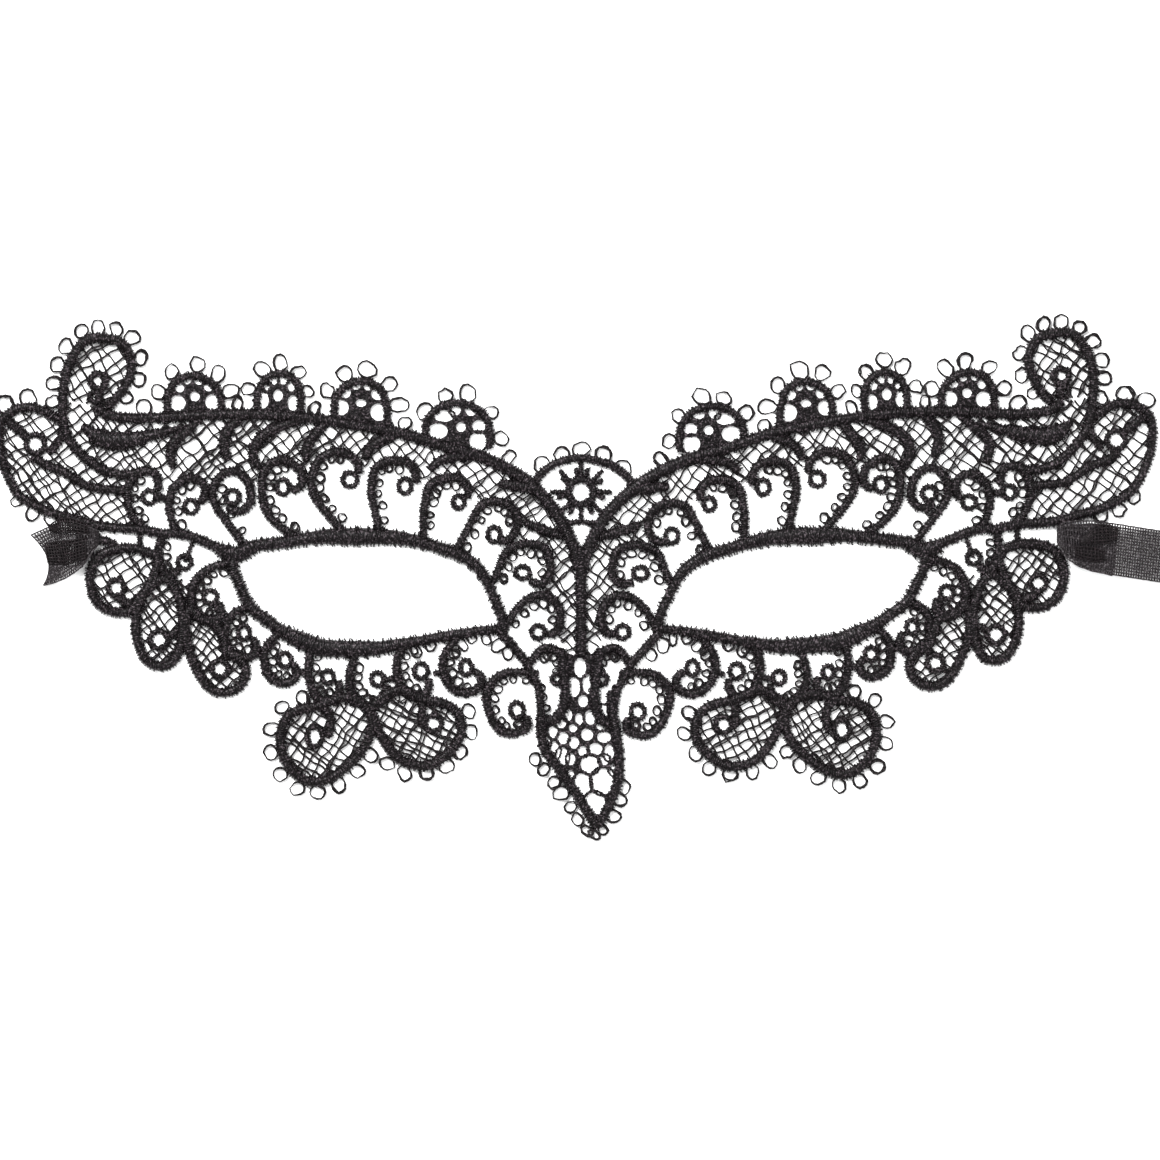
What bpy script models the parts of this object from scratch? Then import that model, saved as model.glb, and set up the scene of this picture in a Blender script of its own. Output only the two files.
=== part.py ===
"""A butterfly eye mask of machine-embroidered lace, lying flat, with the looped ends of its two ribbon ties.
Metres, +Z up, +Y towards the forehead, +X towards the wearer's left wing as the photograph shows it.
The origin is on the lace's flat back, on the centre line between the eyes."""

from collections import namedtuple

import bmesh
import bpy
import numpy as np
from mathutils import Vector
from mathutils.geometry import delaunay_2d_cdt

# Driving sizes, in metres
mask_width = 0.2400
mask_height = 0.1073
eye_length = 0.0537
eye_height = 0.0203
cord_thickness = 0.0018
net_thickness = 0.0010
cord_width = 0.0018
petal_cord_width = 0.0020
centre_ring_hole = 0.0034
ribbon_thickness = 0.0010
tie_bar_diameter = 0.0009
ribbon_clearance = 0.0003
smallest_hole = 0.0019  # a narrower one is left closed
ring_share = 0.68  # the wall of a ring, as a share of the cord's width

# The pattern is drafted on a grid. "out" counts its steps from the centre line, of which half the mask's
# width holds 586, and "up" its steps above the origin, of which the mask's height holds 524.
GRID_OUT = 586
GRID_UP = 524
STEP_OUT = mask_width / 2 / GRID_OUT
STEP_UP = mask_height / GRID_UP
STEP = (STEP_OUT + STEP_UP) / 2

# The eye opening as the tables draw it: its centre and half sizes in steps
EYE_OUT, EYE_UP = 212, -11
EYE_HALF_OUT, EYE_HALF_UP = 131, 49.5
EYE_REACH = 0.8  # how fast an eye's change of size dies away, in eye radii

# A scroll's points are read on the outer side of its cord, so its middle lies a little nearer its ring.
INWARD = 1.5
SIDEWAYS = -0.8

Cord = namedtuple("Cord", "name widths points")
Scroll = namedtuple("Scroll", "name ring hole points")
Arch = namedtuple("Arch", "name rim holes")
Lay = namedtuple("Lay", "out up shift_out shift_up")
Fold = namedtuple("Fold", "top bottom lift notch")

# Widths are steps, spread evenly along the cord, and points are (out, up).
CORDS = (
    Cord("brow", (10, 11, 11, 11, 12, 13, 12),
         ((486, 174), (469, 164), (431, 162), (381, 165), (331, 166), (281, 163), (231, 156),
          (181, 147), (141, 135), (101, 124), (61, 104), (41, 87), (23, 64), (9, 37), (1, 10))),
    Cord("curl", (9, 10, 10, 9),
         ((519, 180), (516, 200), (510, 220), (496, 239), (481, 242), (458, 236), (449, 215),
          (456, 193), (473, 172))),
    Cord("curl_tail", (8, 9, 12), ((482, 172), (490, 184), (488, 194), (482, 199))),
    Cord("stem", (10, 10, 9),
         ((518, 188), (517, 154), (507, 134), (494, 121), (477, 110), (455, 105), (437, 110))),
    Cord("leaf", (5, 19, 20, 14, 8, 3),
         ((499, 155), (484, 143), (467, 139), (446, 141), (421, 147), (395, 154))),
    Cord("wing_rib", (9, 9), ((549, 124), (535, 115), (520, 110), (501, 98), (485, 92), (450, 89))),
    Cord("lobe", (10, 9, 9, 10, 10, 10),
         ((522, 160), (537, 169), (553, 173), (568, 169), (580, 158), (582, 140), (579, 120),
          (571, 100), (562, 85), (548, 76), (529, 67), (507, 61), (485, 55), (463, 52), (441, 51),
          (418, 46), (409, 47), (391, 44), (371, 36), (350, 26))),
    Cord("lobe_tail", (10, 9), ((574, 160), (563, 151), (553, 143))),
    Cord("lobe_side", (8, 7), ((518, 150), (522, 138), (532, 126))),
    Cord("petal_bride", (5, 5), ((441, 54), (441, 30))),
    Cord("rim_side", (8, 8, 8), ((54, -84), (44, -104), (41, -120), (40, -136), (40, -150))),
    Cord("bridge", (9, 9, 9), ((82, -50), (69, -65), (59, -77), (50, -88))),
    Cord("nostril", (10, 11), ((20, -68), (17, -95), (16, -120), (24, -138), (38, -142))),
)
SPINE = Cord("spine", (13, 11, 12), ((0, 34), (0, -40), (0, -78)))
RIM = (
    Cord("rim_top", (12, 12, 12, 12, 16, 18, 16, 13, 11, 12, 11, 9, 9, 9),
         ((345, 22), (331, 33), (301, 37), (261, 43), (231, 43.5), (201, 43.5), (181, 42), (161, 38),
          (141, 32), (121, 25), (105, 14), (96, 2), (88, -15), (80, -35), (77, -52))),
    Cord("rim_bottom", (8, 8, 10, 10, 9, 12, 16, 17, 18, 18, 11, 11, 10, 9, 11),
         ((77, -49), (101, -50.5), (115, -53), (140, -57), (165, -61.5), (182, -64), (201, -68),
          (223, -69), (248, -68.5), (265, -66.5), (293, -54.5), (313, -41), (331, -26), (341, -5),
          (348, 12), (346, 24))),
    Cord("outer_corner", (18, 14), ((362, 31), (345, 25), (326, 34))),
)
FEATHERS = (
    Cord("feather_1", (5, 10, 11, 11, 6), ((378, 163), (396, 147), (407, 138), (410, 127), (408, 111))),
    Cord("feather_2", (6, 11, 11, 9), ((339, 163), (352, 152), (357, 141), (356, 130), (352, 119))),
    Cord("feather_3", (6, 11, 12, 11, 7),
         ((277, 161), (301, 153), (317, 145), (326, 134), (327, 121), (320, 111))),
    Cord("feather_4", (6, 11, 11, 8), ((252, 159), (263, 149), (271, 138), (276, 128), (274, 119))),
    Cord("feather_5", (6, 11, 9), ((178, 146), (196, 141), (210, 133), (217, 120))),
    Cord("feather_6", (6, 11, 9), ((104, 123), (126, 123), (141, 119), (152, 110))),
    Cord("feather_7", (8, 13, 9), ((41, 90), (56, 93), (66, 94.5), (82, 96))),
    Cord("feather_8", (8, 11, 8), ((18, 43), (34, 49), (46, 53), (57, 58))),
)

# Each scroll rises from its foot, turns over its crown and curls in to its ring. hole is the ring's half sizes.
SCROLLS = (
    Scroll("wing_scroll", (431.5, 83), (4, 4),
           ((440, 52), (451, 64), (456, 84), (453, 99), (442, 109), (427, 109), (422, 95))),
    Scroll("eye_1", (390, 73.5), (4, 4),
           ((407, 47), (413, 66), (414, 80), (409, 93), (396, 103), (381, 101), (375, 90), (379, 79))),
    Scroll("eye_2", (348.5, 83), (4.2, 4.2),
           ((341, 38), (356, 58), (367, 73), (371, 88), (365, 102), (353, 110), (341, 108), (332, 97),
            (329, 82), (335, 70), (346, 67), (356, 72))),
    Scroll("eye_3", (298, 93), (3.5, 5),
           ((288, 43), (307, 56), (318, 71), (321, 87), (320, 106), (313, 117), (301, 122), (289, 118),
            (279, 108), (279, 95), (289, 87))),
    Scroll("eye_4", (231, 100.4), (4.5, 4.5),
           ((241, 49), (257, 67), (268, 82), (272, 95), (270, 109), (263, 122), (248, 130), (233, 127),
            (224, 119), (221, 107))),
    Scroll("eye_5", (176, 94), (3.5, 5),
           ((204, 47), (208, 69), (212, 85), (211, 100), (207, 113), (194, 120.5), (179, 120.5),
            (168, 115), (164, 101))),
    Scroll("eye_6", (122.3, 78), (3, 4),
           ((159, 42), (160, 63), (158, 78), (155, 93), (148, 100), (135, 104), (122, 103), (113, 93),
            (113, 82))),
    Scroll("eye_7", (87, 45.5), (3.5, 5),
           ((127, 30), (120, 43), (112, 58), (106, 70), (99, 78), (87, 80), (74, 78), (64, 66),
            (64, 50), (72, 40), (83, 37))),
    Scroll("inner_1", (58.5, 7.5), (4.5, 3.5),
           ((89, 0), (83, 16), (76, 30), (62, 37), (47, 37), (34, 31), (30, 16), (31, 3), (40, -5),
            (52, -2))),
    Scroll("inner_2", (43, -52), (4, 4),
           ((78, -48), (69, -32), (58, -20), (45, -13.5), (31, -16), (22, -26), (20, -38), (24, -52),
            (34, -55))),
    Scroll("nose_1", (24, -99), (2.5, 2.5),
           ((54, -84), (45, -71), (36, -66), (24, -70), (17, -79), (15, -93), (16, -106))),
    Scroll("nose_2", (64, -130), (4, 5),
           ((46, -92), (65, -90.5), (79, -92), (90, -100), (97, -113), (95, -129), (89, -144),
            (79, -154), (65, -154), (54, -149), (54, -136))),
    Scroll("low_1", (115, -87.5), (3, 5),
           ((124, -56), (137, -71), (141, -86), (137, -101), (127, -112), (114, -114.5), (102, -109),
            (99, -98), (107, -91))),
    Scroll("low_2", (160, -91), (4, 5),
           ((171, -60), (183, -71), (187, -86), (185, -101), (177, -113), (163, -118), (153, -111),
            (152, -99))),
    Scroll("low_3", (203.5, -99), (3.5, 4),
           ((226, -70), (234, -94), (231, -113), (220, -126), (207, -128), (196, -118), (194, -105))),
    Scroll("low_4", (253, -97), (3, 4),
           ((271, -62), (275, -86), (273, -104), (265, -120), (250, -122), (241, -112), (243, -101))),
    Scroll("low_5", (296, -80), (3.5, 4.5),
           ((302, -52), (315, -63), (319, -78), (315, -96), (300, -105), (287, -101), (284, -91),
            (289, -84))),
    Scroll("low_6", (337, -52.5), (3, 4.5),
           ((332, -25), (348, -31), (356, -43), (358, -60), (354, -71), (343, -77), (331, -79),
            (324, -70), (328, -58))),
    Scroll("low_7", (370.5, -17), (4, 4),
           ((350, 19), (368, 15), (382, 7), (391, -7), (392, -25), (384, -37), (372, -42), (360, -37),
            (361, -23))),
    Scroll("low_8", (396.5, 18), (4, 4), ((421, 46), (425, 26), (422, 11), (413, 2), (403, 10))),
)

# A petal is a closed loop of cord with a ring inside it.
PETALS = (
    Scroll("petal_1", (464.7, -7.7), (5, 5),
           ((424, 24), (434, 29), (446, 33), (463, 33), (479, 28), (489, 17), (493, 2), (489, -18),
            (477, -30), (462, -34), (449, -31), (442, -19), (433, -8), (425, 8))),
    Scroll("petal_2", (422, -59.6), (5.5, 5.5),
           ((422, 2), (434, -9), (443, -21), (447, -40), (446, -60), (439, -77), (431, -85),
            (421, -88), (409, -84), (401, -70), (398, -50), (399, -30), (403, -14), (412, 0))),
    Scroll("petal_3", (361, -88.7), (5, 5),
           ((393, -28), (397, -48), (394, -68), (389, -83), (382, -98), (373, -109), (361, -114),
            (348, -112), (338, -104), (334, -90), (341, -78), (354, -71), (359, -57), (366, -42),
            (382, -38))),
    Scroll("petal_4", (266, -156.5), (4.5, 7),
           ((262, -124), (283, -128), (297, -138), (303, -155), (300, -175), (291, -191),
            (277, -201), (263, -203), (247, -197), (231, -185), (216, -167), (209, -148),
            (213, -128), (235, -116))),
    Scroll("petal_5", (147.5, -143.5), (5, 5),
           ((211, -126), (208, -142), (201, -158), (191.5, -172), (180, -182), (165, -186.5),
            (150, -186), (137, -177.5), (125, -166), (119, -153), (120, -139), (127, -128),
            (140, -121), (160, -118), (186, -109))),
)
LINKS = (
    Cord("ring_link_3", (8, 8), ((352, -72), (356, -80))),
    Cord("ring_link_4", (9, 9, 9), ((262, -124), (252, -133), (250, -146), (254, -158))),
    Cord("ring_link_5", (8, 9, 8), ((158, -118), (159, -134), (158, -148))),
    Cord("ring_link_7", (8, 8), ((366, -22), (360, -34))),
    Cord("ring_link_8", (4, 4), ((396, 18), (388, 38))),
    Cord("ring_link_wing", (8, 8), ((428, 83), (415, 82))),
    Cord("ring_link_1", (9, 9, 9), ((464, -16), (452, -24), (446, -22))),
    Cord("ring_link_2", (8, 8), ((413, -56), (402, -50))),
    Cord("curl_ring_link", (9, 9), ((482, 190), (482, 176))),
    Cord("low_bride_1", (6, 6), ((148, -94), (140, -92))),
    Cord("low_bride_2", (6, 6), ((196, -100), (187, -98))),
    Cord("low_bride_4", (6, 6), ((320, -76), (326, -72))),
    Cord("low_bride_5", (6, 6), ((286, -92), (275, -92))),
)
LOOSE_RINGS = (
    Scroll("curl_ring", (482, 199), (4.5, 4.5), ()),
    Scroll("lobe_ring", (545.5, 136), (6, 6), ()),
)

# A rosette stands on the brow: an arch of cord round a plate with (out, up, half width, half height) holes.
ROSETTES = (
    Arch("rosette_1",
         ((414, 166), (413, 184), (406, 198), (392, 204), (378, 202), (366, 194), (360, 182), (360, 167)),
         ((386, 183.5, 4, 4), (403, 177, 7, 7), (368, 178, 7, 7), (401, 192, 3.5, 3.5),
          (394, 200, 3.5, 3.5), (381, 200, 5, 4), (372, 194, 4.5, 4.5))),
    Arch("rosette_2",
         ((323, 166), (324, 182), (318, 198), (306, 206), (293, 205), (283, 196), (280, 182), (281, 166)),
         ((303, 184.5, 4, 5), (318, 180, 5, 8), (288, 177, 4.5, 7), (316, 194, 4, 4),
          (308, 200, 4, 4), (297.5, 200, 3.5, 3.5), (289.5, 194, 3, 4.5))),
    Arch("rosette_3",
         ((247, 158), (246, 178), (239, 191), (226, 198), (212, 198), (200, 190), (195, 176),
          (193, 160), (192, 149)),
         ((220, 177, 4.5, 3), (240, 172.5, 7, 7), (202, 168, 8, 8), (236, 187.5, 5, 5),
          (225, 195, 4, 4), (213, 194, 3.5, 3.5), (203, 186, 6, 5))),
    Arch("rosette_4",
         ((156, 140), (154, 160), (142, 172), (126, 177), (109, 174), (97, 165), (91, 151), (92, 131)),
         ((120, 153, 4, 4), (137, 164, 9, 5), (125.5, 170, 4.5, 4.5), (110, 169, 5, 4),
          (102, 154, 6, 5), (103, 139, 8, 8), (143, 149, 9, 7))),
)

# The rosette on the centre line: a ring with spokes, under an arch from brow to brow
CENTRE_RING = (0, 88)
CENTRE_RING_WIDTH = 8.5
CENTRE_SPOKES = 8
CENTRE_SPOKE_END = 31
CENTRE_ARCH = ((47, 95), (44, 101), (36, 110), (22, 118), (0, 122))
CENTRE_BAR = ((17, 57), (0, 58))

# Grounds of net: each is (name, corners), a corner lying on the middle of a cord.
NETS = (
    ("brow_net",
     ((481, 173), (469, 164), (431, 162), (381, 165), (331, 166), (281, 163), (231, 156), (181, 147),
      (141, 135), (101, 124), (61, 104), (41, 87), (23, 64), (9, 37), (0, 10), (0, -73), (8, -79), (20, -73),
      (23, -50), (20, -38), (23, -27), (32, -17), (44, -8), (32, 2), (31, 15), (36, 30), (48, 36),
      (62, 40), (65, 60), (75, 77), (87, 79), (100, 77), (112, 90), (122, 102), (135, 103), (149, 99),
      (160, 100), (169, 114), (180, 119), (194, 119), (206, 112), (216, 112), (226, 118), (234, 126),
      (248, 128), (262, 121), (272, 105), (290, 117), (301, 120), (312, 116), (328, 96), (340, 106),
      (353, 108), (364, 101), (374, 92), (382, 100), (396, 102), (408, 92), (420, 94), (428, 107),
      (437, 109), (455, 105), (477, 110), (494, 121), (507, 134), (517, 154), (519, 180))),
    ("curl_net",
     ((519, 180), (516, 200), (510, 220), (496, 239), (481, 242), (458, 236), (449, 215), (456, 193),
      (473, 172))),
    ("wing_net",
     ((522, 160), (537, 169), (553, 173), (568, 169), (580, 158), (582, 140), (579, 120), (571, 100),
      (562, 85), (548, 76), (529, 67), (507, 61), (485, 55), (463, 52), (444, 52), (452, 66),
      (455, 84), (452, 103), (477, 110), (494, 121), (507, 134), (517, 154))),
    ("petal_join_net", ((396, 2), (412, 0), (403, -14), (399, -30), (393, -28), (391, -8))),
    ("petal_4_net", ((213, -128), (235, -116), (262, -118), (262, -126))),
    ("petal_5_net", ((211, -126), (186, -109), (160, -116), (158, -122))),
)

# The nose: a plate between two edges, pierced by cells of (out, up, half width, half height)
NOSE_PLATE_TOP = ((6, -76), (20, -70), (17, -95), (16, -120), (24, -138))
NOSE_LEFT = ((40, -134), (40, -150), (37, -168), (27, -182), (16, -197), (5, -213), (-5, -229), (-16, -247))
NOSE_RIGHT = ((-30, -110), (-31, -125), (-33, -142), (-36, -158), (-38, -175), (-38.5, -190),
              (-36, -205), (-30, -220), (-24, -233), (-15, -248))
NOSE_EDGE_WIDTH = 10
NOSE_CELLS = (
    (1, -87.5, 5, 9), (-9, -104, 7, 9), (7, -107, 5, 9), (-2, -121, 4, 5), (-13, -122, 3, 5),
    (-23, -131, 3, 5), (-10, -137, 5.5, 6.5), (13, -135, 3, 5), (2, -139, 3, 5), (20, -143, 4, 4),
    (-21, -145, 5, 4), (28, -152, 3.5, 5), (8, -148, 3, 3), (18, -158, 4.5, 5), (-6, -154.5, 5, 5),
    (-23, -157, 6, 4.5), (7, -162.5, 4, 5), (26.5, -170, 4, 8), (35, -162, 3, 6), (18.5, -176, 4.5, 8),
    (10, -179, 3, 5), (-2, -171, 4, 4), (-14.5, -169, 6, 5), (-28, -172, 4, 7), (-9, -184, 8.5, 8),
    (-23, -180, 4, 4), (-33, -189, 3.5, 5), (10.5, -195, 2.5, 4), (-1, -204, 8, 10),
    (-22, -201, 11, 12), (-13.6, -224, 10, 11),
)

# How the other half lies, beside the mirror of the first
LAY = (
    Lay(124, 149, 7.8, -3.5), Lay(219, 176, 4.7, -0.6), Lay(302, 187, 2.5, 1), Lay(386, 187, -0.5, 3.6),
    Lay(482, 215, -2, 5), Lay(545, 136, -11, 4), Lay(425, 70, -3.6, 5), Lay(348, 83, 0.3, 3.5),
    Lay(231, 100, 5.3, 0.6), Lay(122, 78, 6, -2), Lay(58, 7, 2, -1.4), Lay(43, -52, -2, 1),
    Lay(79, -48, -0.7, 0), Lay(150, -58, -3, 0), Lay(347, 10, -4, 4), Lay(260, -69, -6, 6),
    Lay(465, -8, -8, 4.5), Lay(361, -80, -7, 6), Lay(266, -156, -5, 7.5), Lay(203, -99, -6.5, 1),
    Lay(150, -130, -4.5, -1.5), Lay(64, -130, -9, -2),
)
LAY_REACH = 55
LAY_FADE = 40

# The ribbons, a row for each fold across them: its two edges (out, up), its lift from 0 on the surface to 1 on
# the bar, and how far the middle of the row lies back from its edges, in steps. Both start at the loop.
TIE_BAR = ((488, 55), (488, 20))
LEFT_UPPER = (
    Fold((488, 52), (492, 21), 1, 0), Fold((499, 54), (498, 13), 1, 0), Fold((509, 55), (505, 8), 0.75, 0),
    Fold((520, 55), (515, 2), 0.2, 0), Fold((534, 52), (526, -2.5), 0, 4), Fold((549.5, 45), (537.5, -5.5), 0, 11),
)
LEFT_LOWER = (Fold((488, 49), (488, 36), 0, 0), Fold((500, 50), (498, 19), 0, 0), Fold((505, 50), (502, 16), 0, 0))
RIGHT_UPPER = (
    Fold((480, 57), (484, 22), 1, 0), Fold((494, 59), (496, 14), 1, 0), Fold((509, 59), (510, 9), 1, 0),
    Fold((529, 56.5), (526, 6), 1, 0), Fold((546, 54), (541, 4), 0.5, 0), Fold((562, 51.5), (557, 1.5), 0, 0),
    Fold((586, 48), (581, -2.2), 0, 0),
)
RIGHT_LOWER = (
    Fold((480, 53), (480, 37), 0, 0), Fold((494, 54), (495, 17), 0, 0), Fold((511, 55), (511, 10), 0, 0),
    Fold((537, 53), (531, 4.5), 0, 0),
)
LOOP_TURNS = 6  # rows in the half turn round the bar
RIBBON_SPAN = 6  # squares across a ribbon

LABEL_NET, LABEL_CORD = 0, 1


def to_metres(points):
    """Grid points as metres, right of the centre line positive, moved with the eye where its size changes."""
    p = np.asarray(points, float)
    place = p * (STEP_OUT, STEP_UP)
    for side in (-1, 1):
        centre = np.array((side * EYE_OUT, EYE_UP))
        from_eye = (p - centre) / (EYE_HALF_OUT, EYE_HALF_UP)
        radius = np.linalg.norm(from_eye, axis=1)
        near = np.exp(-(np.maximum(radius - 1.2, 0) / EYE_REACH) ** 2)
        drawn = np.array((EYE_HALF_OUT * STEP_OUT, EYE_HALF_UP * STEP_UP))
        wanted = np.array((eye_length / 2, eye_height / 2))
        place = place + from_eye * (wanted - drawn) * near[:, None]
    return place


def lay_shift(points):
    """How far the other half lies from the mirror of the first, in steps: the LAY rows, each weighted by
    exp(-(distance / LAY_REACH)^2), faded in over the first LAY_FADE steps from the centre line."""
    rows = np.array(LAY)
    distance = np.linalg.norm(points[:, None, :] - rows[None, :, :2], axis=2)
    weight = np.exp(-(distance / LAY_REACH) ** 2) + 1e-9
    shift = weight @ rows[:, 2:] / weight.sum(axis=1, keepdims=True)
    return shift * np.clip(points[:, :1] / LAY_FADE, 0, 1)


def on_side(points, side):
    """Table points on one side of the mask: -1 is the half as drafted, 1 the mirrored half as it lies."""
    p = np.asarray(points, float)
    if side < 0:
        return p * (-1, 1)
    return p + lay_shift(p)


def ellipse(centre, half, sides):
    angle = (np.arange(sides) + 0.5) * 2 * np.pi / sides
    return np.column_stack((centre[0] + half[0] * np.cos(angle), centre[1] + half[1] * np.sin(angle)))


def drawn_in(scroll):
    """The middle line of a scroll or petal, from the points on its outer side."""
    p = np.asarray(scroll.points, float)
    towards = np.asarray(scroll.ring, float) - p
    length = np.linalg.norm(towards, axis=1, keepdims=True)
    return p + INWARD * towards / length + (SIDEWAYS, 0)


def ring_wall():
    """The wall of a ring, in steps."""
    return cord_width / STEP * ring_share


def joined(scroll):
    """The middle line of a scroll, its last point drawn halfway from where it was read to the ring's wall."""
    line = drawn_in(scroll)
    ring = np.asarray(scroll.ring, float)
    back = line[-1] - ring
    wall = (np.mean(scroll.hole) + ring_wall() / 2) / np.linalg.norm(back)
    line[-1] = ring + back * (1 + min(wall, 1)) / 2
    return line


class Drawing:
    """The flat drawing of the lace: faces of cord, plate and net, and the holes through plate and net."""

    def __init__(self):
        self.points = []
        self.faces = []
        self.kinds = []

    def add_face(self, corners, kind):
        corners = to_metres(corners)
        turned = np.roll(corners, -1, axis=0)
        area = (corners[:, 0] * turned[:, 1] - corners[:, 1] * turned[:, 0]).sum()
        if area < 0:
            corners = corners[::-1]
        start = len(self.points)
        self.points.extend(corners)
        self.faces.append(list(range(start, start + len(corners))))
        self.kinds.append(kind)

    def add_band(self, points, widths, closed=False):
        """A cord: a quad for each stretch between two points, as wide as the table says there."""
        p = np.asarray(points, float)
        if closed:
            p = np.vstack((p, p[:1]))
        share = np.linspace(0, 1, len(p))
        half = np.interp(share, np.linspace(0, 1, len(widths)), widths)[:, None] / 2
        along = np.gradient(p, axis=0)
        if closed:
            along[0] = along[-1] = p[1] - p[-2]
        across = np.column_stack((-along[:, 1], along[:, 0])) / np.linalg.norm(along, axis=1, keepdims=True)
        one, other = p + across * half, p - across * half
        for i in range(len(p) - 1):
            self.add_face((one[i], one[i + 1], other[i + 1], other[i]), "cord")

    def add_hole(self, centre, half):
        if 2 * min(half) * STEP > smallest_hole:
            self.add_face(ellipse(centre, half, 6), "hole")

    def add_ring(self, centre, hole, width, sides=8):
        """A ring of cord, a plate as wide as the ring with a hole through it where that is large enough."""
        self.add_face(ellipse(centre, (hole[0] + width, hole[1] + width), sides), "plate")
        self.add_hole(centre, hole)

    def filled(self):
        """A flat mesh of the drawing: what is cord or plate has material 1, bare net 0, the rest is gone."""
        points, _, faces, _, _, origins = delaunay_2d_cdt(
            [Vector(p) for p in self.points], [], self.faces, 1, 1e-6, True
        )
        flat = bmesh.new()
        verts = [flat.verts.new((p.x, p.y, 0)) for p in points]
        for face, origin in zip(faces, origins):
            kinds = {self.kinds[i] for i in origin}
            solid = "cord" in kinds or ("plate" in kinds and "hole" not in kinds)
            if solid or ("net" in kinds and "hole" not in kinds):
                made = flat.faces.new([verts[i] for i in face])
                made.material_index = LABEL_CORD if solid else LABEL_NET
        loose = [v for v in flat.verts if not v.link_faces]
        bmesh.ops.delete(flat, geom=loose, context="VERTS")
        return flat


def draw_half(drawing, side):
    """One half of the lace."""
    wide = cord_width / STEP
    wide_petal = petal_cord_width / STEP
    for cord in CORDS + RIM + FEATHERS + LINKS:
        drawing.add_band(on_side(cord.points, side), cord.widths)
    for scroll in SCROLLS:
        drawing.add_band(on_side(joined(scroll), side), (wide * 0.85, wide, wide))
    for petal in PETALS:
        outline = on_side(drawn_in(petal), side)
        drawing.add_band(outline, (wide_petal, wide_petal), closed=True)
        drawing.add_face(outline, "net")
    for scroll in SCROLLS + PETALS + LOOSE_RINGS:
        centre = on_side((scroll.ring,), side)[0]
        drawing.add_ring(centre, scroll.hole, ring_wall())
    for rosette in ROSETTES:
        rim = on_side(rosette.rim, side)
        drawing.add_band(rim, (wide * 0.85, wide * 0.85))
        drawing.add_face(rim, "plate")
        for out, up, half_out, half_up in rosette.holes:
            drawing.add_hole(on_side(((out, up),), side)[0], (half_out, half_up))
    for _, corners in NETS:
        drawing.add_face(on_side(corners, side), "net")
    drawing.add_band(on_side(CENTRE_ARCH, side), (wide * 0.9, wide * 0.9))
    drawing.add_band(on_side(CENTRE_BAR, side), (5, 5))


def draw_middle(drawing):
    """What stands on the centre line: the spine, the ring with its spokes, and the nose."""
    drawing.add_band(SPINE.points, SPINE.widths)
    hole = centre_ring_hole / 2 / STEP
    middle = ellipse(CENTRE_RING, (hole + CENTRE_RING_WIDTH / 2,) * 2, 12)
    drawing.add_band(middle, (CENTRE_RING_WIDTH,) * 2, closed=True)
    for i in range(CENTRE_SPOKES):
        angle = i * 2 * np.pi / CENTRE_SPOKES
        way = np.array((np.cos(angle), np.sin(angle)))
        start = np.array(CENTRE_RING) + way * (hole + CENTRE_RING_WIDTH / 2)
        end = np.array(CENTRE_RING) + way * CENTRE_SPOKE_END
        drawing.add_band((start, end), (4, 4))
    left = on_side(NOSE_LEFT, -1)
    right = on_side(NOSE_RIGHT, -1)
    plate = np.vstack((on_side(NOSE_PLATE_TOP, -1), left, right[::-1], on_side(NOSE_PLATE_TOP, 1)[::-1]))
    drawing.add_face(plate, "plate")
    drawing.add_band(left, (NOSE_EDGE_WIDTH,) * 2)
    drawing.add_band(right, (NOSE_EDGE_WIDTH,) * 2)
    for out, up, half_out, half_up in NOSE_CELLS:
        drawing.add_hole((-out, up), (half_out, half_up))


def raise_lace(flat):
    """The flat drawing as a solid: every face rises to the net's thickness, then the cords to their own."""
    everything = bmesh.ops.extrude_face_region(flat, geom=flat.faces[:], use_keep_orig=True)["geom"]
    tops = [f for f in everything if isinstance(f, bmesh.types.BMFace)]
    bmesh.ops.translate(flat, verts=list({v for f in tops for v in f.verts}), vec=(0, 0, net_thickness))
    cords = [f for f in tops if f.material_index == LABEL_CORD]
    raised = bmesh.ops.extrude_face_region(flat, geom=cords)["geom"]
    more = [f for f in raised if isinstance(f, bmesh.types.BMFace)]
    bmesh.ops.delete(flat, geom=cords, context="FACES")
    step = (0, 0, cord_thickness - net_thickness)
    bmesh.ops.translate(flat, verts=list({v for f in more for v in f.verts}), vec=step)
    bmesh.ops.recalc_face_normals(flat, faces=flat.faces[:])


def merge_flat(mesh, angle):
    """Joins faces that lie in one plane and drops points on nearly straight edges."""
    bmesh.ops.dissolve_limit(
        mesh, angle_limit=angle, verts=mesh.verts[:], edges=mesh.edges[:],
        use_dissolve_boundaries=False, delimit={"MATERIAL"},
    )


def new_object(name, mesh, collection, material):
    made = bpy.data.objects.new(name, mesh)
    made.data.materials.append(material)
    collection.objects.link(made)
    return made


def cloth_material(name, colour, roughness):
    material = bpy.data.materials.new(name)
    material.use_nodes = True
    shader = material.node_tree.nodes["Principled BSDF"]
    shader.inputs["Base Color"].default_value = (*colour, 1)
    shader.inputs["Roughness"].default_value = roughness
    shader.inputs["Metallic"].default_value = 0
    return material


def bar_level():
    """The height of the middle of the bars that the ribbons loop round."""
    return ribbon_thickness + ribbon_clearance + tie_bar_diameter / 2


def bar_ends(side):
    return to_metres(on_side(TIE_BAR, side))


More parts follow.
